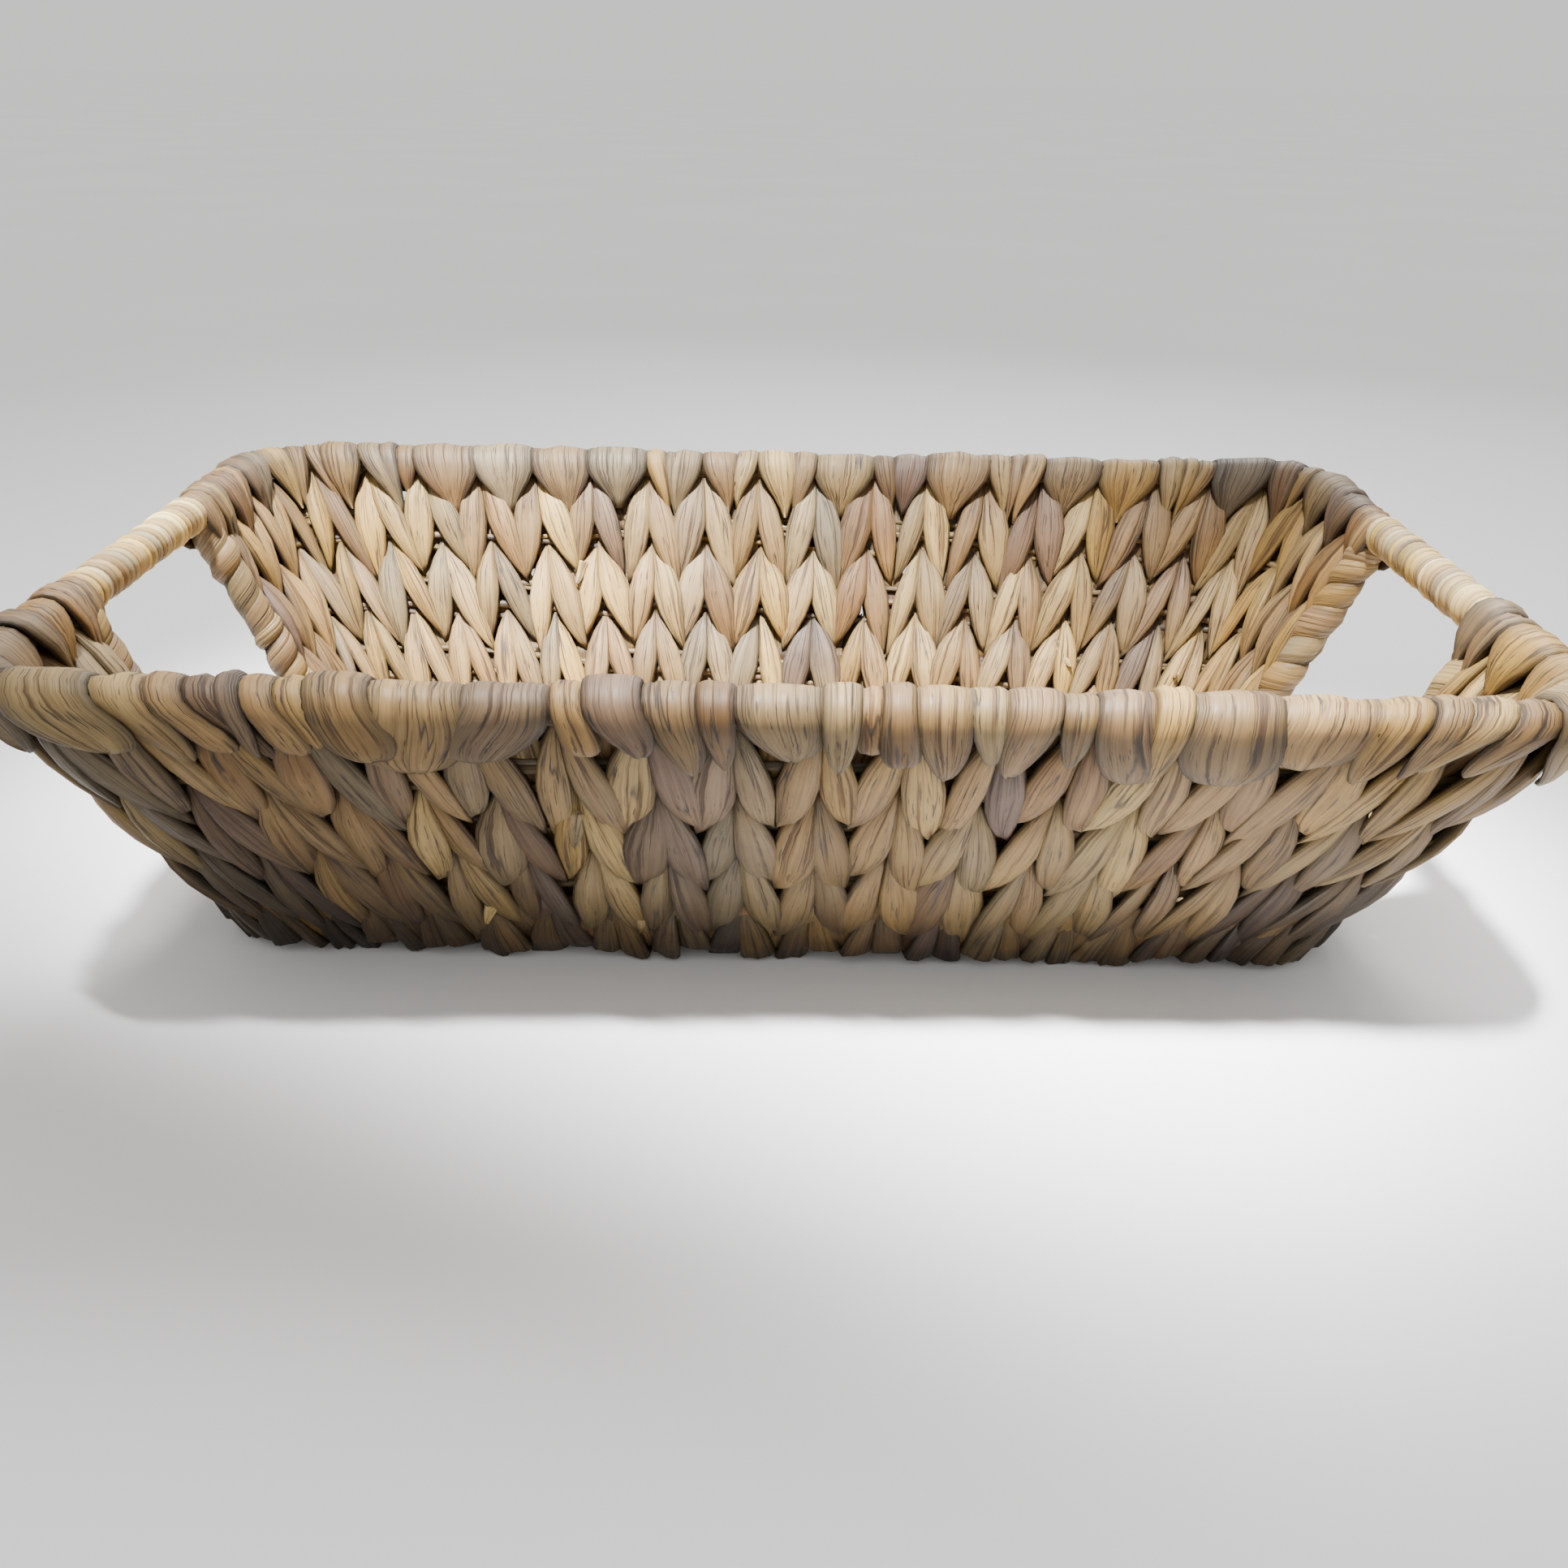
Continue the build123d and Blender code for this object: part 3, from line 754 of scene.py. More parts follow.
@dataclass
class RimStrips:
    """The strips that are folded over the rim: a pointed tail inside and a round lobe outside."""

    surface: Surface
    blank: StrandBlank
    filler_radius: float = 4.0 * MM
    thickness: float = 3.0 * MM
    tail: float = 17.0 * MM
    lobe: float = 12.5 * MM
    wide: float = 17.0 * MM
    pointed_share: float = 0.72
    puff: float = 2.0 * MM
    puff_spread: float = 0.9 * MM
    dome: float = 0.6 * MM
    unevenness: float = 1.0 * MM
    crease_width: float = 0.15

    @property
    def radius(self) -> float:
        """Radius of the strip's middle line over the rim."""
        return self.filler_radius + self.thickness / 2

    def fold(
        self, path: np.ndarray, out: np.ndarray, tail: float, lobe: float, puff: float
    ) -> tuple[np.ndarray, np.ndarray]:
        """The strip's path round the rim, seen along the rim.

        Args:
            path: each point's length along the strip, from the tail to the lobe.
            out: each point's height over the strip's middle line, along the path's normal.
            tail: length of the strip below the rim's middle, inside.
            lobe: the same outside.
            puff: how far the lobe stands out.

        Returns:
            Heights up the slope over the rim's middle, and places out of the wall.
        """
        radius = self.radius
        turn = np.clip((path - tail) / (math.pi * radius), 0, 1) * math.pi
        inside, outside = np.maximum(tail - path, 0), np.maximum(path - tail - math.pi * radius, 0)
        swell = np.sin(np.clip(outside / lobe, 0, 1) * math.pi * 0.55) * puff
        dip = smooth((outside / lobe - 0.80) / 0.20) * 0.5 * MM
        sink = smooth((inside / tail - 0.3) / 0.7) * 2.6 * MM
        up = radius * np.sin(turn) - inside - outside + out * np.sin(turn)
        return up, swell + sink - dip - (radius + out) * np.cos(turn)

    def outline(
        self, path: np.ndarray, tail: float, lobe: float, width: float, pointed: bool
    ) -> tuple[np.ndarray, np.ndarray]:
        """The strip's half-width along its path.

        Args:
            path: each point's length along the strip, from the tail to the lobe.
            tail: length of the strip below the rim's middle, inside.
            lobe: the same outside.
            width: the strip's full width on the rim.
            pointed: whether the lobe narrows to a point or ends round.

        Returns:
            Half-widths, and how full the strip is, 0 at its very ends and 1 over the rim.
        """
        arc = math.pi * self.radius
        taper = 0.12 + 0.88 * smooth(path / (tail * 0.95)) ** 0.8
        end_run = lobe * 1.5 + 1.5 * MM if pointed else max(0.6 * width, 4 * MM)
        narrowing, blunting = (1.4, 0.75) if pointed else (2.0, 0.5)
        to_end = np.clip((tail + arc + lobe - path) / end_run, 0, 1)
        rounded = np.maximum(1 - (1 - to_end) ** narrowing, 0.0) ** blunting
        fan = 1 + 0.22 * smooth((path - tail - 0.6 * arc) / (0.4 * arc + 0.4 * lobe))
        pinch = 1 - 0.03 * np.exp(-(((path - tail - arc * 0.5) / (5 * MM)) ** 2))
        return width / 2 * taper * (0.10 + 0.90 * rounded) * pinch * fan, to_end * taper

    def add(
        self,
        mesh: StrandMesh,
        inner: float,
        top: float,
        outer: float,
        width: float,
        rng: np.random.Generator,
    ) -> None:
        """Adds one strip.

        Args:
            mesh: the mesh that gathers the strips.
            inner: place along the rim where the tail ends.
            top: place along the rim where the strip goes over it.
            outer: place along the rim where the lobe ends.
            width: the strip's full width on the rim.
            rng: source of the small differences between strips.
        """
        t = 1 - (1 - np.clip(self.blank.along, 0, 1)) ** 1.3
        wobble = rng.uniform(-1, 1, 7)
        tail = self.tail * (1 + 0.15 * wobble[0])
        lobe = self.lobe * (0.62 + 0.38 * min(width / self.wide, 1.2)) * (1 + 0.36 * wobble[1])
        length = tail + math.pi * self.radius + lobe
        path = t * length
        across, out = bowed(np.cos(self.blank.angle), 0.8), np.sin(self.blank.angle)
        half, full = self.outline(path, tail, lobe, width, rng.uniform() < self.pointed_share)
        body = self.thickness / 2 * (0.4 + 0.6 * np.sqrt(np.clip(full, 0, 1)))
        places = rng.uniform(-0.7, 0.7, 3)
        depths = rng.uniform(0.2, 0.9, 3) * MM * min(width / (12 * MM), 1)
        slanted = [place + 0.4 * (t - 0.5) for place in places]
        crease = crease_depth(across, depths, slanted, self.crease_width)
        dome = (1 - np.abs(across) ** 2.2) * min(width / self.wide, 1) * self.dome
        top_side = np.maximum(out, 0)
        height = body * bowed(out, 0.75) + (dome - crease) * top_side + self.unevenness * wobble[4]
        up, side = self.fold(path, height, tail, lobe, self.puff + self.puff_spread * wobble[2])
        inside_share = 1 - smooth(path / (tail + self.radius))
        outside_share = smooth((path - tail - 2 * self.radius) / (lobe + self.radius))
        middle = top + (inner - top) * inside_share + (outer - top) * outside_share
        side = side + 0.3 * MM * wobble[3]
        points = self.surface.place(middle + half * across, self.surface.slope + up, side)
        # Painted shade: darker underneath, at the edges where the strips meet, and at the lobe's end.
        edge = 1 - np.abs(across) ** 3 * 0.55
        shade = (0.30 + 0.72 * top_side ** 0.6) * edge * (0.6 + 0.4 * smooth((1 - t) / 0.05))
        mesh.add(points, strand_colours(Dye.pick(rng), t, shade, rng), 2.4 * width, length, rng)


@dataclass
class RimBinding:
    """The rim strips of the front or the back wall with its corners, as three pieces."""

    surface: LongWall
    blank: StrandBlank
    seed: int
    columns: int = 24
    splits: tuple[tuple[float, ...], ...] = (
        (1.0,), (0.62, 0.38), (0.36, 0.64), (0.5, 0.5), (0.4, 0.25, 0.35)
    )
    split_weights: tuple[float, ...] = (0.42, 0.18, 0.18, 0.12, 0.10)
    lean: float = 4.0 * MM
    inner_drift: float = 0.8 * MM
    outer_drift: float = 2.6 * MM
    overlap: tuple[float, float] = (1.04, 1.18)

    def build(self) -> dict[str, bpy.types.Object]:
        """Folds the strips over the rim.

        Returns:
            The pieces by the frame node that each one stands for.
        """
        rng = np.random.default_rng(self.seed)
        side = "front" if self.surface.side < 0 else "back"
        names = (f"left_{side}_corner", side, f"right_{side}_corner")
        meshes = {name: StrandMesh(self.blank) for name in names}
        strips = RimStrips(self.surface, self.blank)
        column = self.surface.reach / (self.columns / 2)
        straight = self.surface.rim.half_length - self.surface.rim.corner
        for k in range(self.columns + 1):
            middle = (k - self.columns / 2) * column
            room = column if 0 < k < self.columns else column / 2
            if k == 0:
                middle += column / 4
            if k == self.columns:
                middle -= column / 4
            band = 1 if abs(middle) < straight else (0 if middle < 0 else 2)
            shares = self.splits[rng.choice(len(self.splits), p=self.split_weights)]
            start = middle - room / 2
            lean = rng.normal(0, self.lean)
            for share in shares:
                width = room * share
                top = start + width / 2
                start += width
                inner = middle + (top - middle) * 0.35 + rng.normal(0, self.inner_drift)
                outer = top + lean + rng.normal(0, self.outer_drift)
                width *= rng.uniform(*self.overlap)
                strips.add(meshes[names[band]], inner, top, outer, width, rng)
        return {f"{name}_rim_wraps": mesh.build(f"{name}_rim_strips") for name, mesh in meshes.items()}


@dataclass(frozen=True)
class Bar:
    """A straight bar of the frame that a strip is wound round."""

    start: tuple[float, float, float]
    end: tuple[float, float, float]
    outward: tuple[float, float, float]

    def axes(self) -> tuple[np.ndarray, np.ndarray, np.ndarray]:
        """Unit directions: along the bar, out of the wall, and square to both."""
        along = unit(np.array(self.end) - np.array(self.start))
        out = np.array(self.outward)
        out = unit(out - along * (out @ along))
        return along, out, np.cross(along, out)

    @property
    def length(self) -> float:
        """Length of the bar."""
        return float(np.linalg.norm(np.array(self.end) - np.array(self.start)))


@dataclass(frozen=True)
class Winding:
    """A strip wound round a bar: turns side by side, each a little different."""

    bar: Bar
    turns: int
    radius: float
    thickness: float
    slant: float
    lump: float
    seed: int
    collar: float = 0.0
    cover: float = 1.3
    wrap: float = 400.0
    end_play: float = 0.6 * MM

    def build(self, name: str, blank: StrandBlank, dyes: tuple[Dye, ...] = ()) -> bpy.types.Object:
        """Winds the strip.

        Args:
            name: the piece's name.
            blank: the blank to shape, long enough to bend round the bar.
            dyes: dyes to draw from, or all of them.

        Returns:
            The piece.
        """
        rng = np.random.default_rng(self.seed)
        mesh = StrandMesh(blank)
        along, out, square = self.bar.axes()
        weights = 1 + self.lump * rng.uniform(-0.5, 0.5, self.turns)
        ends = np.concatenate([[0], np.cumsum(weights)]) / weights.sum() * self.bar.length
        t = blank.along
        across, over = bowed(np.cos(blank.angle), 0.8), np.sin(blank.angle)
        for k in range(self.turns):
            width = ends[k + 1] - ends[k]
            collar = self.collar * (k < 2 or k >= self.turns - 2)
            wobble = rng.uniform(-1, 1, 4)
            begin = rng.uniform(-0.35, 0.35) + math.pi
            turn = begin + (t - 0.5) * math.radians(self.wrap)
            end_share = np.sin(np.clip(t, 0, 1) * math.pi) ** 0.35
            half = width / 2 * self.cover * (0.7 + 0.3 * end_share)
            body = self.thickness / 2 * (0.5 + 0.5 * end_share)
            dome = (1 - np.abs(across) ** 2) * self.thickness * 0.16
            crease = np.exp(-(((across - 0.5 * wobble[0]) / 0.2) ** 2)) * self.lump * 0.5 * MM
            rise = body * bowed(over, 0.8) + (dome - crease) * np.maximum(over, 0)
            swell = self.lump * 0.9 * MM * wobble[1] * (1 - np.abs(across))
            reach = self.radius + self.thickness / 2 + rise + np.maximum(swell, -0.3 * MM) + collar
            shift = self.slant * width * (t - 0.5) * (1 + 0.3 * self.lump * wobble[2])
            place = (ends[k] + ends[k + 1]) / 2 + half * across + shift
            place = np.clip(place, -self.end_play, self.bar.length + self.end_play)
            points = (
                np.array(self.bar.start)
                + along * place[:, None]
                + (out * np.cos(turn)[:, None] + square * np.sin(turn)[:, None]) * reach[:, None]
            )
            dye = dyes[rng.integers(len(dyes))].colour if dyes else Dye.pick(rng)
            # Painted shade: each turn darker underneath and at its edges, where it meets the next turn.
            shade = (0.45 + 0.55 * np.maximum(over, 0) ** 0.6) * (1 - np.abs(across) ** 4 * 0.65)
            colours = strand_colours(dye, t, shade, rng)
            mesh.add(points, colours, 2.2 * width, 2 * math.pi * self.radius, rng)
        return mesh.build(name)


@dataclass(frozen=True)
class Bundle:
    """A core: a flat bundle of thin fibres, lightly twisted, along a path on a surface."""

    surface: Surface | Floor
    begin: float
    end: float
    level: float
    seed: int
    fibres: int = 8
    half_height: float = 6.2 * MM
    half_depth: float = 1.3 * MM
    thin: float = 1.15 * MM
    twist: float = 7.0
    grain_width: float = 4.0 * MM

    def build(self, name: str, blank: StrandBlank) -> bpy.types.Object:
        """Lays the fibres.

        Args:
            name: the piece's name.
            blank: a blank with many steps.

        Returns:
            The piece.
        """
        rng = np.random.default_rng(self.seed)
        mesh = StrandMesh(blank)
        t = np.clip(blank.along, 0, 1)
        s = self.begin + (self.end - self.begin) * t
        for k in range(self.fibres):
            turn = 2 * math.pi * k / self.fibres + self.twist * s + 0.4 * np.sin(s * 31 + 2.4 * k)
            thin = self.thin * rng.uniform(0.85, 1.25)
            v = self.level + self.half_height * np.sin(turn) + thin * np.sin(blank.angle)
            h = self.half_depth * np.cos(turn) + thin * np.cos(blank.angle)
            points = self.surface.place(s, v, h)
            # Painted shade: the cores lie deep in the weave and are darkened for it.
            shade = np.full_like(t, rng.uniform(0.35, 0.6))
            colours = strand_colours(Dye.pick(rng), t, shade, rng)
            mesh.add(points, colours, self.grain_width, abs(self.end - self.begin), rng)
        return mesh.build(name)


@dataclass
class EndPanelWeave:
    """The short woven panel under a hand opening."""

    surface: EndWall
    blank: StrandBlank
    seed: int
    half_width: float = 41.0 * MM
    columns: int = 4
    top: float = 21.5 * MM
    leaf_length: float = 39.0 * MM
    backing_reach: tuple[float, float] = (-19.0 * MM, 23.0 * MM)
    fold_reach: tuple[float, float] = (-14.0 * MM, 12.0 * MM)
    fold_width: float = 12.0 * MM
    fold_lift: float = 3.2 * MM

    def build(self, name: str) -> bpy.types.Object:
        """Weaves the panel as one piece of that name."""
        rng = np.random.default_rng(self.seed)
        weave = Weave(self.surface, self.blank, foot_painted_shade=0.45)
        mesh = StrandMesh(self.blank)
        column = 2 * self.half_width / self.columns
        leaf = {"thickness": 4.4 * MM, "crest": 4.2 * MM, "root": 0.4 * MM, "tip": 0.8 * MM, "roundness": 0.7}
        shape = LeafShape(column / 2, self.leaf_length, **leaf)
        for k in range(self.columns):
            s = (k - (self.columns - 1) / 2) * column
            for face in (1, -1):
                colour = Dye.pick(rng)
                for lean in (-1, 1):
                    weave.add_leaf(mesh, shape, s, self.top, lean, face, colour, rng)
        for k in range(2 * self.columns):
            s = (k + 0.5 - self.columns) * column / 2
            weave.add_backing(mesh, s, *self.backing_reach, 0.8 * column, rng)
        for side in (-1, 1):
            s = side * (self.half_width + self.fold_width / 2 - 1 * MM)
            weave.add_backing(mesh, s, *self.fold_reach, self.fold_width, rng, self.fold_lift)
        return mesh.build(name)


@dataclass
class FloorWeave:
    """The woven floor between the wires of the foot."""

    surface: Floor
    blank: StrandBlank
    seed: int
    half_length: float = 146.5 * MM
    columns: int = 14
    rows: int = 4
    row_pitch: float = 27.7 * MM
    leaf_length: float = 41.0 * MM
    overlap: float = 9.0 * MM

    def build(self, name: str) -> bpy.types.Object:
        """Weaves the floor as one piece of that name."""
        rng = np.random.default_rng(self.seed)
        weave = Weave(self.surface, self.blank)
        mesh = StrandMesh(self.blank)
        column = 2 * self.half_length / self.columns
        leaf = {"thickness": 4.0 * MM, "crest": 3.9 * MM, "root": 0.2 * MM, "tip": 0.6 * MM}
        shape = LeafShape(column / 2, self.leaf_length, **leaf)
        for k in range(self.columns):
            s = (k - (self.columns - 1) / 2) * column
            for face in (1, -1):
                colour = Dye.pick(rng)
                for row in range(self.rows):
                    top = (row - (self.rows - 1) / 2) * self.row_pitch + self.leaf_length / 2
                    for lean in (-1, 1):
                        weave.add_leaf(mesh, shape, s, top, lean, face, colour, rng)
        depth = self.rows * self.row_pitch
        for k in range(2 * self.columns):
            s = (k + 0.5 - self.columns) * column / 2
            for row in range(self.rows):
                low = row * self.row_pitch - depth / 2
                ends = (low - self.overlap, low + self.row_pitch + self.overlap)
                weave.add_backing(mesh, s, *ends, 0.75 * column, rng)
        return mesh.build(name)


# ---------------------------------------------------------------------------------------- finishes


class Value:
    """A shader socket that Python operators turn into Math nodes."""

    def __init__(self, shader: "Shader", socket: bpy.types.NodeSocket) -> None:
        """Wraps a socket of a shader."""
        self.shader = shader
        self.socket = socket

    def maths(self, operation: str, first: "Value | float", second: "Value | float") -> "Value":
        """One Math node on two values."""
        node = self.shader.node("ShaderNodeMath", {"operation": operation}, {0: first, 1: second})
        return Value(self.shader, node.outputs[0])

    def __add__(self, other: "Value | float") -> "Value":
        """This value plus another."""
        return self.maths("ADD", self, other)

    def __radd__(self, other: float) -> "Value":
        """A number plus this value."""
        return self.maths("ADD", other, self)

    def __sub__(self, other: "Value | float") -> "Value":
        """This value less another."""
        return self.maths("SUBTRACT", self, other)

    def __rsub__(self, other: float) -> "Value":
        """A number less this value."""
        return self.maths("SUBTRACT", other, self)

    def __mul__(self, other: "Value | float") -> "Value":
        """This value times another."""
        return self.maths("MULTIPLY", self, other)

    def __rmul__(self, other: float) -> "Value":
        """A number times this value."""
        return self.maths("MULTIPLY", other, self)


class Shader:
    """A material under construction."""

    def __init__(self, name: str) -> None:
        """Starts a material with a Principled shader and its output."""
        self.material = bpy.data.materials.new(name)
        self.material.use_nodes = True
        self.tree = self.material.node_tree
        self.tree.nodes.clear()
        self.surface = self.node("ShaderNodeBsdfPrincipled", {}, {})
        self.node("ShaderNodeOutputMaterial", {}, {"Surface": Value(self, self.surface.outputs[0])})

    def node(self, kind: str, settings: dict[str, object], inputs: dict[str | int, object]) -> bpy.types.Node:
        """Adds a node.

        Args:
            kind: the node's type.
            settings: its properties; "stops" holds a ramp's (place, colour) pairs.
            inputs: values or links of its sockets.

        Returns:
            The node.
        """
        node = self.tree.nodes.new(kind)
        for key, value in settings.items():
            if key == "stops":
                self.set_stops(node.color_ramp, value)
            else:
                setattr(node, key, value)
        for key, value in inputs.items():
            if isinstance(value, Value):
                self.tree.links.new(value.socket, node.inputs[key])
            else:
                node.inputs[key].default_value = value
        return node

    @staticmethod
    def set_stops(ramp: bpy.types.ColorRamp, stops: list[tuple[float, float]]) -> None:
        """Gives a ramp grey stops at the given places."""
        while len(ramp.elements) < len(stops):
            ramp.elements.new(0.5)
        for element, (place, grey) in zip(ramp.elements, stops):
            element.position = place
            element.color = (grey, grey, grey, 1)

    def out(self, node: bpy.types.Node, socket: str | int = 0) -> Value:
        """One output of a node."""
        return Value(self, node.outputs[socket])

    def noise(self, vector: Value, scale: float, detail: float = 2.0, roughness: float = 0.5) -> Value:
        """A noise pattern's height."""
        inputs = {"Vector": vector, "Scale": scale, "Detail": detail, "Roughness": roughness}
        return self.out(self.node("ShaderNodeTexNoise", {}, inputs), "Fac")

    def stretched(self, vector: Value, scale: tuple[float, float, float]) -> Value:
        """Coordinates drawn out along the axes."""
        return self.out(self.node("ShaderNodeMapping", {}, {"Vector": vector, "Scale": scale}))

    def ramp(self, value: Value, stops: list[tuple[float, float]]) -> Value:
        """A value through a grey ramp."""
        return self.out(self.node("ShaderNodeValToRGB", {"stops": stops}, {"Fac": value}))

    def blend(self, share: "Value | float", first: object, second: object, mode: str = "MIX") -> Value:
        """Two colours mixed."""
        settings = {"data_type": "RGBA", "blend_type": mode}
        node = self.node("ShaderNodeMix", settings, {0: share, 6: first, 7: second})
        return self.out(node, 2)

    def times(self, colour: Value, tint: tuple[float, float, float]) -> Value:
        """A colour times a tint."""
        return self.blend(1.0, colour, (*tint, 1.0), "MULTIPLY")

    def place(self) -> Value:
        """Coordinates in the object's own space."""
        return self.out(self.node("ShaderNodeTexCoord", {}, {}), "Object")

    def bump(self, height: Value, strength: float, distance: float) -> Value:
        """Normals tilted by a height."""
        inputs = {"Strength": strength, "Distance": distance, "Height": height}
        return self.out(self.node("ShaderNodeBump", {}, inputs))

    def finish(self, inputs: dict[str, object]) -> bpy.types.Material:
        """Sets or links the Principled shader's inputs and returns the material."""
        for key, value in inputs.items():
            if isinstance(value, Value):
                self.tree.links.new(value.socket, self.surface.inputs[key])
            else:
                self.surface.inputs[key].default_value = value
        return self.material


@dataclass(frozen=True)
class StrandFinish:
    """Dried hyacinth: the strand's colour with its painted shade, dark fibres, pale ribs and a dry surface.
    """

    name: str
    tint: tuple[float, float, float] = (1.0, 1.0, 1.0)
    rib_scale: float = 1.0
    streak_share: float = 0.6
    bump: float = 0.5

    def make(self) -> bpy.types.Material:
        """Builds the material.

        Returns:
            A material that reads the Grain layer and the strand_colour attribute of its piece.
        """
        shader = Shader(self.name)
        grain = shader.out(shader.node("ShaderNodeUVMap", {"uv_map": "Grain"}, {}))
        strand_colour = shader.node("ShaderNodeAttribute", {"attribute_name": "strand_colour"}, {})
        rib = self.rib_scale
        ribs = shader.noise(shader.stretched(grain, (800 * rib, 22, 1)), 1.0, 3.0, 0.6)
        fibres = shader.noise(shader.stretched(grain, (2300 * rib, 55, 1)), 1.0, 2.0, 0.5)
        folds = shader.noise(shader.stretched(grain, (360 * rib, 15, 1)), 1.0, 1.5, 0.5)
        patches = shader.noise(shader.stretched(grain, (140, 70, 1)), 1.0, 3.0, 0.6)
        dashes = shader.noise(shader.stretched(grain, (1700 * rib, 110, 1)), 1.0, 2.0, 0.6)
        streaks = shader.ramp(ribs, [(0.36, 1.0), (0.44, 0.0)])
        specks = shader.ramp(dashes, [(0.345, 1.0), (0.375, 0.0)])
        creases = shader.ramp(folds, [(0.455, 0.0), (0.475, 1.0), (0.495, 0.0)])
        broken = shader.ramp(patches, [(0.42, 0.0), (0.52, 1.0)])
        age = shader.ramp(patches, [(0.38, 0.0), (0.68, 1.0)])
        tone = shader.times(shader.out(strand_colour, "Color"), self.tint)
        aged = shader.blend(age * 0.5, tone, shader.times(tone, (0.60, 0.50, 0.42)))
        pale_ribs = shader.ramp(ribs, [(0.50, 0.0), (0.75, 1.0)])
        light = shader.blend(pale_ribs * 0.5, aged, shader.times(aged, (1.55, 1.45, 1.25)))
        threads = shader.ramp(fibres, [(0.36, 1.0), (0.56, 0.0)])
        fine = shader.blend(threads * 0.55, light, shader.times(light, (0.55, 0.47, 0.40)))
        worn = shader.times(fine, (0.36, 0.28, 0.22))
        streaked = shader.blend(streaks * self.streak_share, fine, worn)
        # Dark specks, and crease lines that are partly marks of the dried leaf and partly painted shade.
        marks = (creases * broken * 0.95 + specks * 0.8) * self.streak_share
        dark = shader.blend(marks, streaked, (0.016, 0.009, 0.005, 1))
        height = ribs * 0.5 + fibres * 0.35 + folds * 1.1 - streaks * 0.25 - creases * 0.4
        return shader.finish(
            {
                "Base Color": dark,
                "Roughness": shader.ramp(ribs, [(0.3, 0.72), (0.7, 0.48)]),
                "Specular IOR Level": 0.4,
                "Normal": shader.bump(height, self.bump, 0.9 * MM),
            }
        )


# ------------------------------------------------------------------------------------------ studio


@dataclass(frozen=True)
class Studio:
    """A pale floor, soft light from above, from the back and all round, and the camera."""

    eye: tuple[float, float, float] = (0.003, -0.435, 0.227)
    pitch: float = 25.4
    yaw: float = -0.26
    roll: float = -0.96
    lens: float = 34.66
    horizon: float = 0.88
    overhead: float = 0.25
    key_power: float = 3.35
    key_spread: float = 12.0
    key_front: float = 0.25
    back_power: float = 4.0
    floor_shade: float = 0.82

    def build(self) -> None:
        """Adds the floor, the lights and the camera."""
        self.add_floor()
        self.add_light("key", (-0.12, -self.key_front, 1.20), (0.40, 0.20), self.key_power, self.key_spread)
        self.add_light("back", (0.25, 1.00, 1.00), (0.8, 0.8), self.back_power, 60)
        self.add_world()
        self.add_camera()

    def add_world(self) -> None:
        """Adds the light from all round, as dim at the horizon as the floor that it meets there."""
        world = bpy.data.worlds.new("studio")
        world.use_nodes = True
        nodes, links = world.node_tree.nodes, world.node_tree.links
        background = nodes["Background"]
        background.inputs["Color"].default_value = (1.0, 0.99, 0.97, 1.0)
        direction, parts, strength = (
            nodes.new(kind) for kind in ("ShaderNodeTexCoord", "ShaderNodeSeparateXYZ", "ShaderNodeMath")
        )
        strength.operation = "MULTIPLY_ADD"
        strength.inputs[1].default_value = self.overhead
        strength.inputs[2].default_value = self.horizon
        links.new(direction.outputs["Generated"], parts.inputs[0])
        links.new(parts.outputs["Z"], strength.inputs[0])
        links.new(strength.outputs[0], background.inputs["Strength"])
        bpy.context.scene.world = world

    def add_floor(self) -> None:
        """Adds the floor that the basket stands on."""
        deselect_all()
        bpy.ops.mesh.primitive_plane_add(size=60, location=(0, 0, 0))
        floor = bpy.context.active_object
        floor.name = "studio_floor"
        shader = Shader("studio_floor")
        dim, bright = self.floor_shade * 0.98, self.floor_shade * 1.02
        mottle = shader.ramp(shader.noise(shader.place(), 3.0), [(0.3, dim), (0.7, bright)])
        floor.data.materials.append(shader.finish({"Base Color": mottle, "Roughness": 0.9}))

    @staticmethod
    def add_light(
        name: str, place: tuple[float, float, float], size: tuple[float, float], power: float, spread: float
    ) -> None:
        """Adds a soft light that looks at the basket.

        Args:
            name: the light's name.
            place: its middle.
            size: its width and depth.
            power: its power in watts.
            spread: the angle of its beam, in degrees.
        """
        data = bpy.data.lights.new(name, "AREA")
        data.shape = "RECTANGLE"
        data.size, data.size_y = size
        data.energy = power
        data.spread = math.radians(spread)
        light = bpy.data.objects.new(name, data)
        bpy.context.scene.collection.objects.link(light)
        aim = Vector((0, 0, 0.05)) - Vector(place)
        light.matrix_world = Matrix.Translation(place) @ aim.to_track_quat("-Z", "Y").to_matrix().to_4x4()

    def add_camera(self) -> None:
        """Adds the camera, turned by its pitch, yaw and roll."""
        pitch, yaw, roll = (math.radians(angle) for angle in (self.pitch, self.yaw, self.roll))
        forward = Vector((math.sin(yaw) * math.cos(pitch), math.cos(yaw) * math.cos(pitch), -math.sin(pitch)))
        right = Vector((math.cos(yaw), -math.sin(yaw), 0))
        down = forward.cross(right)
        tilted = right * math.cos(roll) + down * math.sin(roll)
        up = right * math.sin(roll) - down * math.cos(roll)
        data = bpy.data.cameras.new("camera")
        data.lens = self.lens
        data.clip_start = 0.01
        camera = bpy.data.objects.new("camera", data)
        bpy.context.scene.collection.objects.link(camera)
        turned = Matrix((tilted, up, -forward)).transposed().to_4x4()
        camera.matrix_world = Matrix.Translation(self.eye) @ turned
        bpy.context.scene.camera = camera


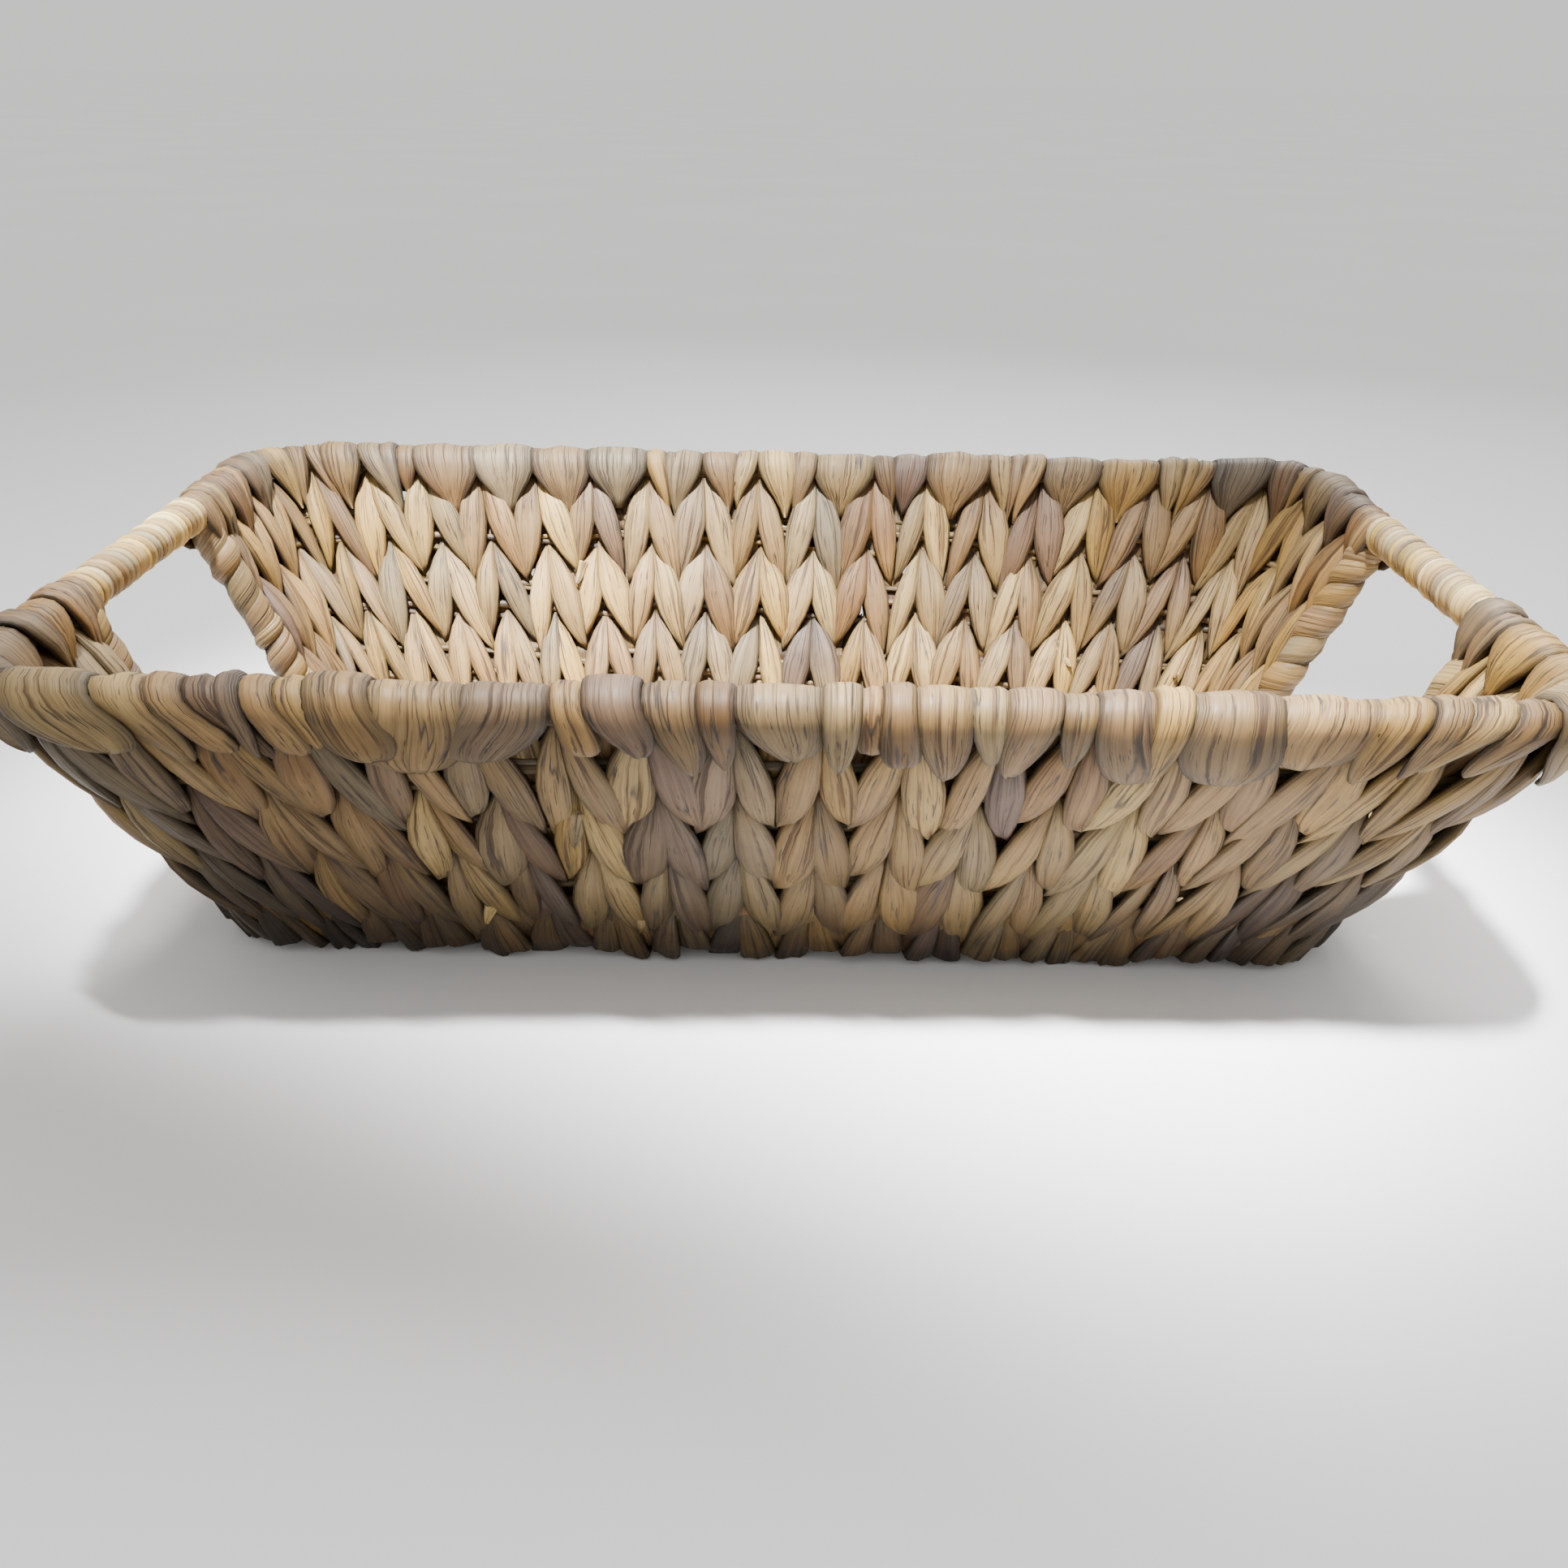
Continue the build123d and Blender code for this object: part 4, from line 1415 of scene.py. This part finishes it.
@dataclass(frozen=True)
class WireFinish:
    """Plain drawn steel wire, faintly mottled."""

    name: str = "frame_wire"

    def make(self) -> bpy.types.Material:
        """Builds the material."""
        shader = Shader(self.name)
        mottle = shader.noise(shader.place(), 400, 3.0)
        shade = shader.ramp(mottle, [(0.3, 0.25), (0.7, 0.42)])
        roughness = shader.ramp(mottle, [(0.3, 0.35), (0.7, 0.55)])
        return shader.finish({"Base Color": shade, "Metallic": 1.0, "Roughness": roughness})


@dataclass(frozen=True)
class FillerFinish:
    """Bundled fibre inside the rim, seen only between the strips."""

    name: str = "core_fibre"

    def make(self) -> bpy.types.Material:
        """Builds the material."""
        shader = Shader(self.name)
        fibre = shader.noise(shader.stretched(shader.place(), (120, 900, 900)), 1.0, 3.0)
        paleness = shader.ramp(fibre, [(0.35, 0.0), (0.65, 1.0)])
        # Painted shade: the filler is far darker than the fibre, for the shade between the strips.
        shade = shader.blend(paleness, (0.03, 0.018, 0.009, 1), (0.12, 0.085, 0.045, 1))
        normal = shader.bump(fibre, 0.5, 0.5 * MM)
        return shader.finish({"Base Color": shade, "Roughness": 0.8, "Normal": normal})


def dress_node(node: str, material: bpy.types.Material) -> None:
    """Gives a frame node's own object a finish."""
    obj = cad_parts[node]
    if not obj.material_slots:
        obj.data.materials.append(material)
    for material_slot in obj.material_slots:
        material_slot.material = material


@dataclass
class Basket:
    """The whole basket: builds each sub-assembly and fixes it to the frame."""

    foot_corner: float = 18.2 * MM
    rim_corner: float = 27.2 * MM
    post_y: float = 46.0 * MM
    opening_half: float = 41.0 * MM
    post_foot: float = 0.03
    cap_width: float = 13.0 * MM
    rows: tuple[float, ...] = (0.25, 0.5, 0.75)

    def __post_init__(self) -> None:
        """Measures the rings, models the blanks and makes the finishes."""
        self.foot = Ring.of_wire("foot_wire", self.foot_corner)
        self.rim = Ring.of_wire("rim_wire", self.rim_corner)
        self.leaf_blank = StrandBlank.model(14, 8)
        self.strip_blank = StrandBlank.model(14, 17)
        self.turn_blank = StrandBlank.model(10, 20)
        self.fibre_blank = StrandBlank.model(6, 80)
        self.strand_finish = StrandFinish("woven_strand", (1.05, 1.01, 0.91), streak_share=1.0).make()
        self.rim_finish = StrandFinish("rim_strip", (0.78, 0.735, 0.65), streak_share=1.0).make()
        pale = StrandFinish("handle_strip", (1.62, 1.74, 1.84), streak_share=0.5, bump=0.4)
        self.handle_finish = pale.make()
        self.edge_finish = StrandFinish("edge_strip").make()
        self.core_finish = StrandFinish("core_fibre_strand", streak_share=0.7).make()

    def fix(self, piece: bpy.types.Object, finish: bpy.types.Material, slot: str, *nodes: str) -> None:
        """Dresses a piece and puts it in place of its nodes.

        Args:
            piece: the piece.
            finish: its material.
            slot: a material slot's name; not used.
            nodes: the frame nodes that it stands for.
        """
        piece.data.materials.append(finish)
        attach(piece, "root")
        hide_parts(*nodes)
        log.info("%s: %d faces", piece.name, len(piece.data.polygons))

    def build_long_walls(self) -> None:
        """Builds the front and the back with their corners, rim strips and cores."""
        for side, name in ((-1, "front"), (1, "back")):
            wall = LongWall(self.foot, self.rim, side=side)
            for node, piece in LongWallWeave(wall, self.leaf_blank, 20 + side).build().items():
                self.fix(piece, self.strand_finish, "woven_strand", node)
            for node, piece in RimBinding(wall, self.strip_blank, 40 + side).build().items():
                self.fix(piece, self.rim_finish, "rim_strip", node)
            reach = wall.reach - 2 * MM
            for k, share in enumerate(self.rows):
                core = Bundle(wall, -reach, reach, share * wall.slope, 60 + 3 * side + k)
                piece = core.build(f"{name}_core_{3 - k}", self.fibre_blank)
                self.fix(piece, self.core_finish, "core_fibre", f"{name}_core_row_{3 - k}")

    def build_end(self, end: int, name: str) -> None:
        """Builds what is round one hand opening."""
        wall = EndWall(self.foot, self.rim, end=end)
        panel = EndPanelWeave(wall, self.leaf_blank, 80 + end).build(f"{name}_sill_panel")
        self.fix(panel, self.strand_finish, "woven_strand", f"{name}_sill_strands")
        outward = (end, 0, 0)
        rim_x, rim_z = end * self.rim.half_length, self.rim.z
        reach = self.opening_half + 1.0 * MM
        handle = Winding(
            Bar((rim_x, -reach, rim_z), (rim_x, reach, rim_z), outward),
            turns=24,
            radius=4.2 * MM,
            thickness=1.8 * MM,
            slant=2.0,
            lump=0.35,
            seed=90 + end,
            collar=0.1 * MM,
            cover=1.16,
        )
        light = (Dye.TAN, Dye.STRAW, Dye.PALE)
        piece = handle.build(f"{name}_handle_winding", self.turn_blank, light)
        self.fix(piece, self.handle_finish, "handle_strip", f"{name}_handle_wraps")
        share = self.rows[0]
        sill_x = end * (self.foot.half_length + share * (self.rim.half_length - self.foot.half_length))
        sill_z = self.foot.z + share * (self.rim.z - self.foot.z)
        reach = self.opening_half
        sill = Winding(
            Bar((sill_x, -reach, sill_z), (sill_x, reach, sill_z), outward),
            turns=9,
            radius=2.8 * MM,
            thickness=2.8 * MM,
            slant=1.0,
            lump=0.7,
            seed=100 + end,
        )
        piece = sill.build(f"{name}_sill_winding", self.turn_blank)
        self.fix(piece, self.edge_finish, "edge_strip", f"{name}_sill_wraps", f"{name}_sill_core")
        for side, side_name in ((-1, "front"), (1, "back")):
            self.build_post(wall, end, f"{name}_{side_name}", side * self.post_y)

    def build_post(self, wall: EndWall, end: int, name: str, y: float) -> None:
        """Builds the winding of one post and the cap over its top."""
        foot = (end * self.foot.half_length, y, self.foot.z)
        top = (end * self.rim.half_length, y, self.rim.z)
        start = tuple(low + (high - low) * self.post_foot for low, high in zip(foot, top))
        seed = 110 + len(name) + end
        post = Winding(
            Bar(start, top, (end, 0, 0)),
            turns=10,
            radius=2.1 * MM,
            thickness=3.2 * MM,
            slant=1.5,
            lump=0.9,
            seed=seed,
        )
        piece = post.build(f"{name}_post_winding", self.turn_blank)
        self.fix(piece, self.edge_finish, "edge_strip", f"{name}_post_wraps")
        rng = np.random.default_rng(seed + 7)
        mesh = StrandMesh(self.strip_blank)
        RimStrips(wall, self.strip_blank).add(mesh, y, y, y, self.cap_width, rng)
        self.fix(mesh.build(f"{name}_post_strip"), self.rim_finish, "rim_strip", f"{name}_post_cap")

    def build_floor(self) -> None:
        """Builds the floor and its cores."""
        floor = Floor(self.foot)
        piece = FloorWeave(floor, self.leaf_blank, 130).build("floor_weave")
        self.fix(piece, self.strand_finish, "woven_strand", "floor_strands")
        reach = self.foot.half_length - 3 * MM
        for k in range(4):
            level = (k - 1.5) * self.foot.half_width * 2 / 5
            core = Bundle(floor, -reach, reach, level, 140 + k)
            piece = core.build(f"floor_bundle_{k + 1}", self.fibre_blank)
            self.fix(piece, self.core_finish, "core_fibre", f"floor_core_{k + 1}")

    def dress_frame(self) -> None:
        """Gives the wires and the rim filler their finishes."""
        wire, filler = WireFinish().make(), FillerFinish().make()
        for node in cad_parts:
            if node.endswith("wire"):
                dress_node(node, wire)
        dress_node("rim_filler", filler)

    def build(self) -> None:
        """Builds everything."""
        self.build_long_walls()
        for end, name in ((-1, "left"), (1, "right")):
            self.build_end(end, name)
        self.build_floor()
        self.dress_frame()


def main() -> None:
    """Builds the basket and the studio."""
    Basket().build()
    Studio().build()


if __name__ == "__main__":
    logging.basicConfig(level=logging.INFO, format="%(name)s %(message)s")
    main()
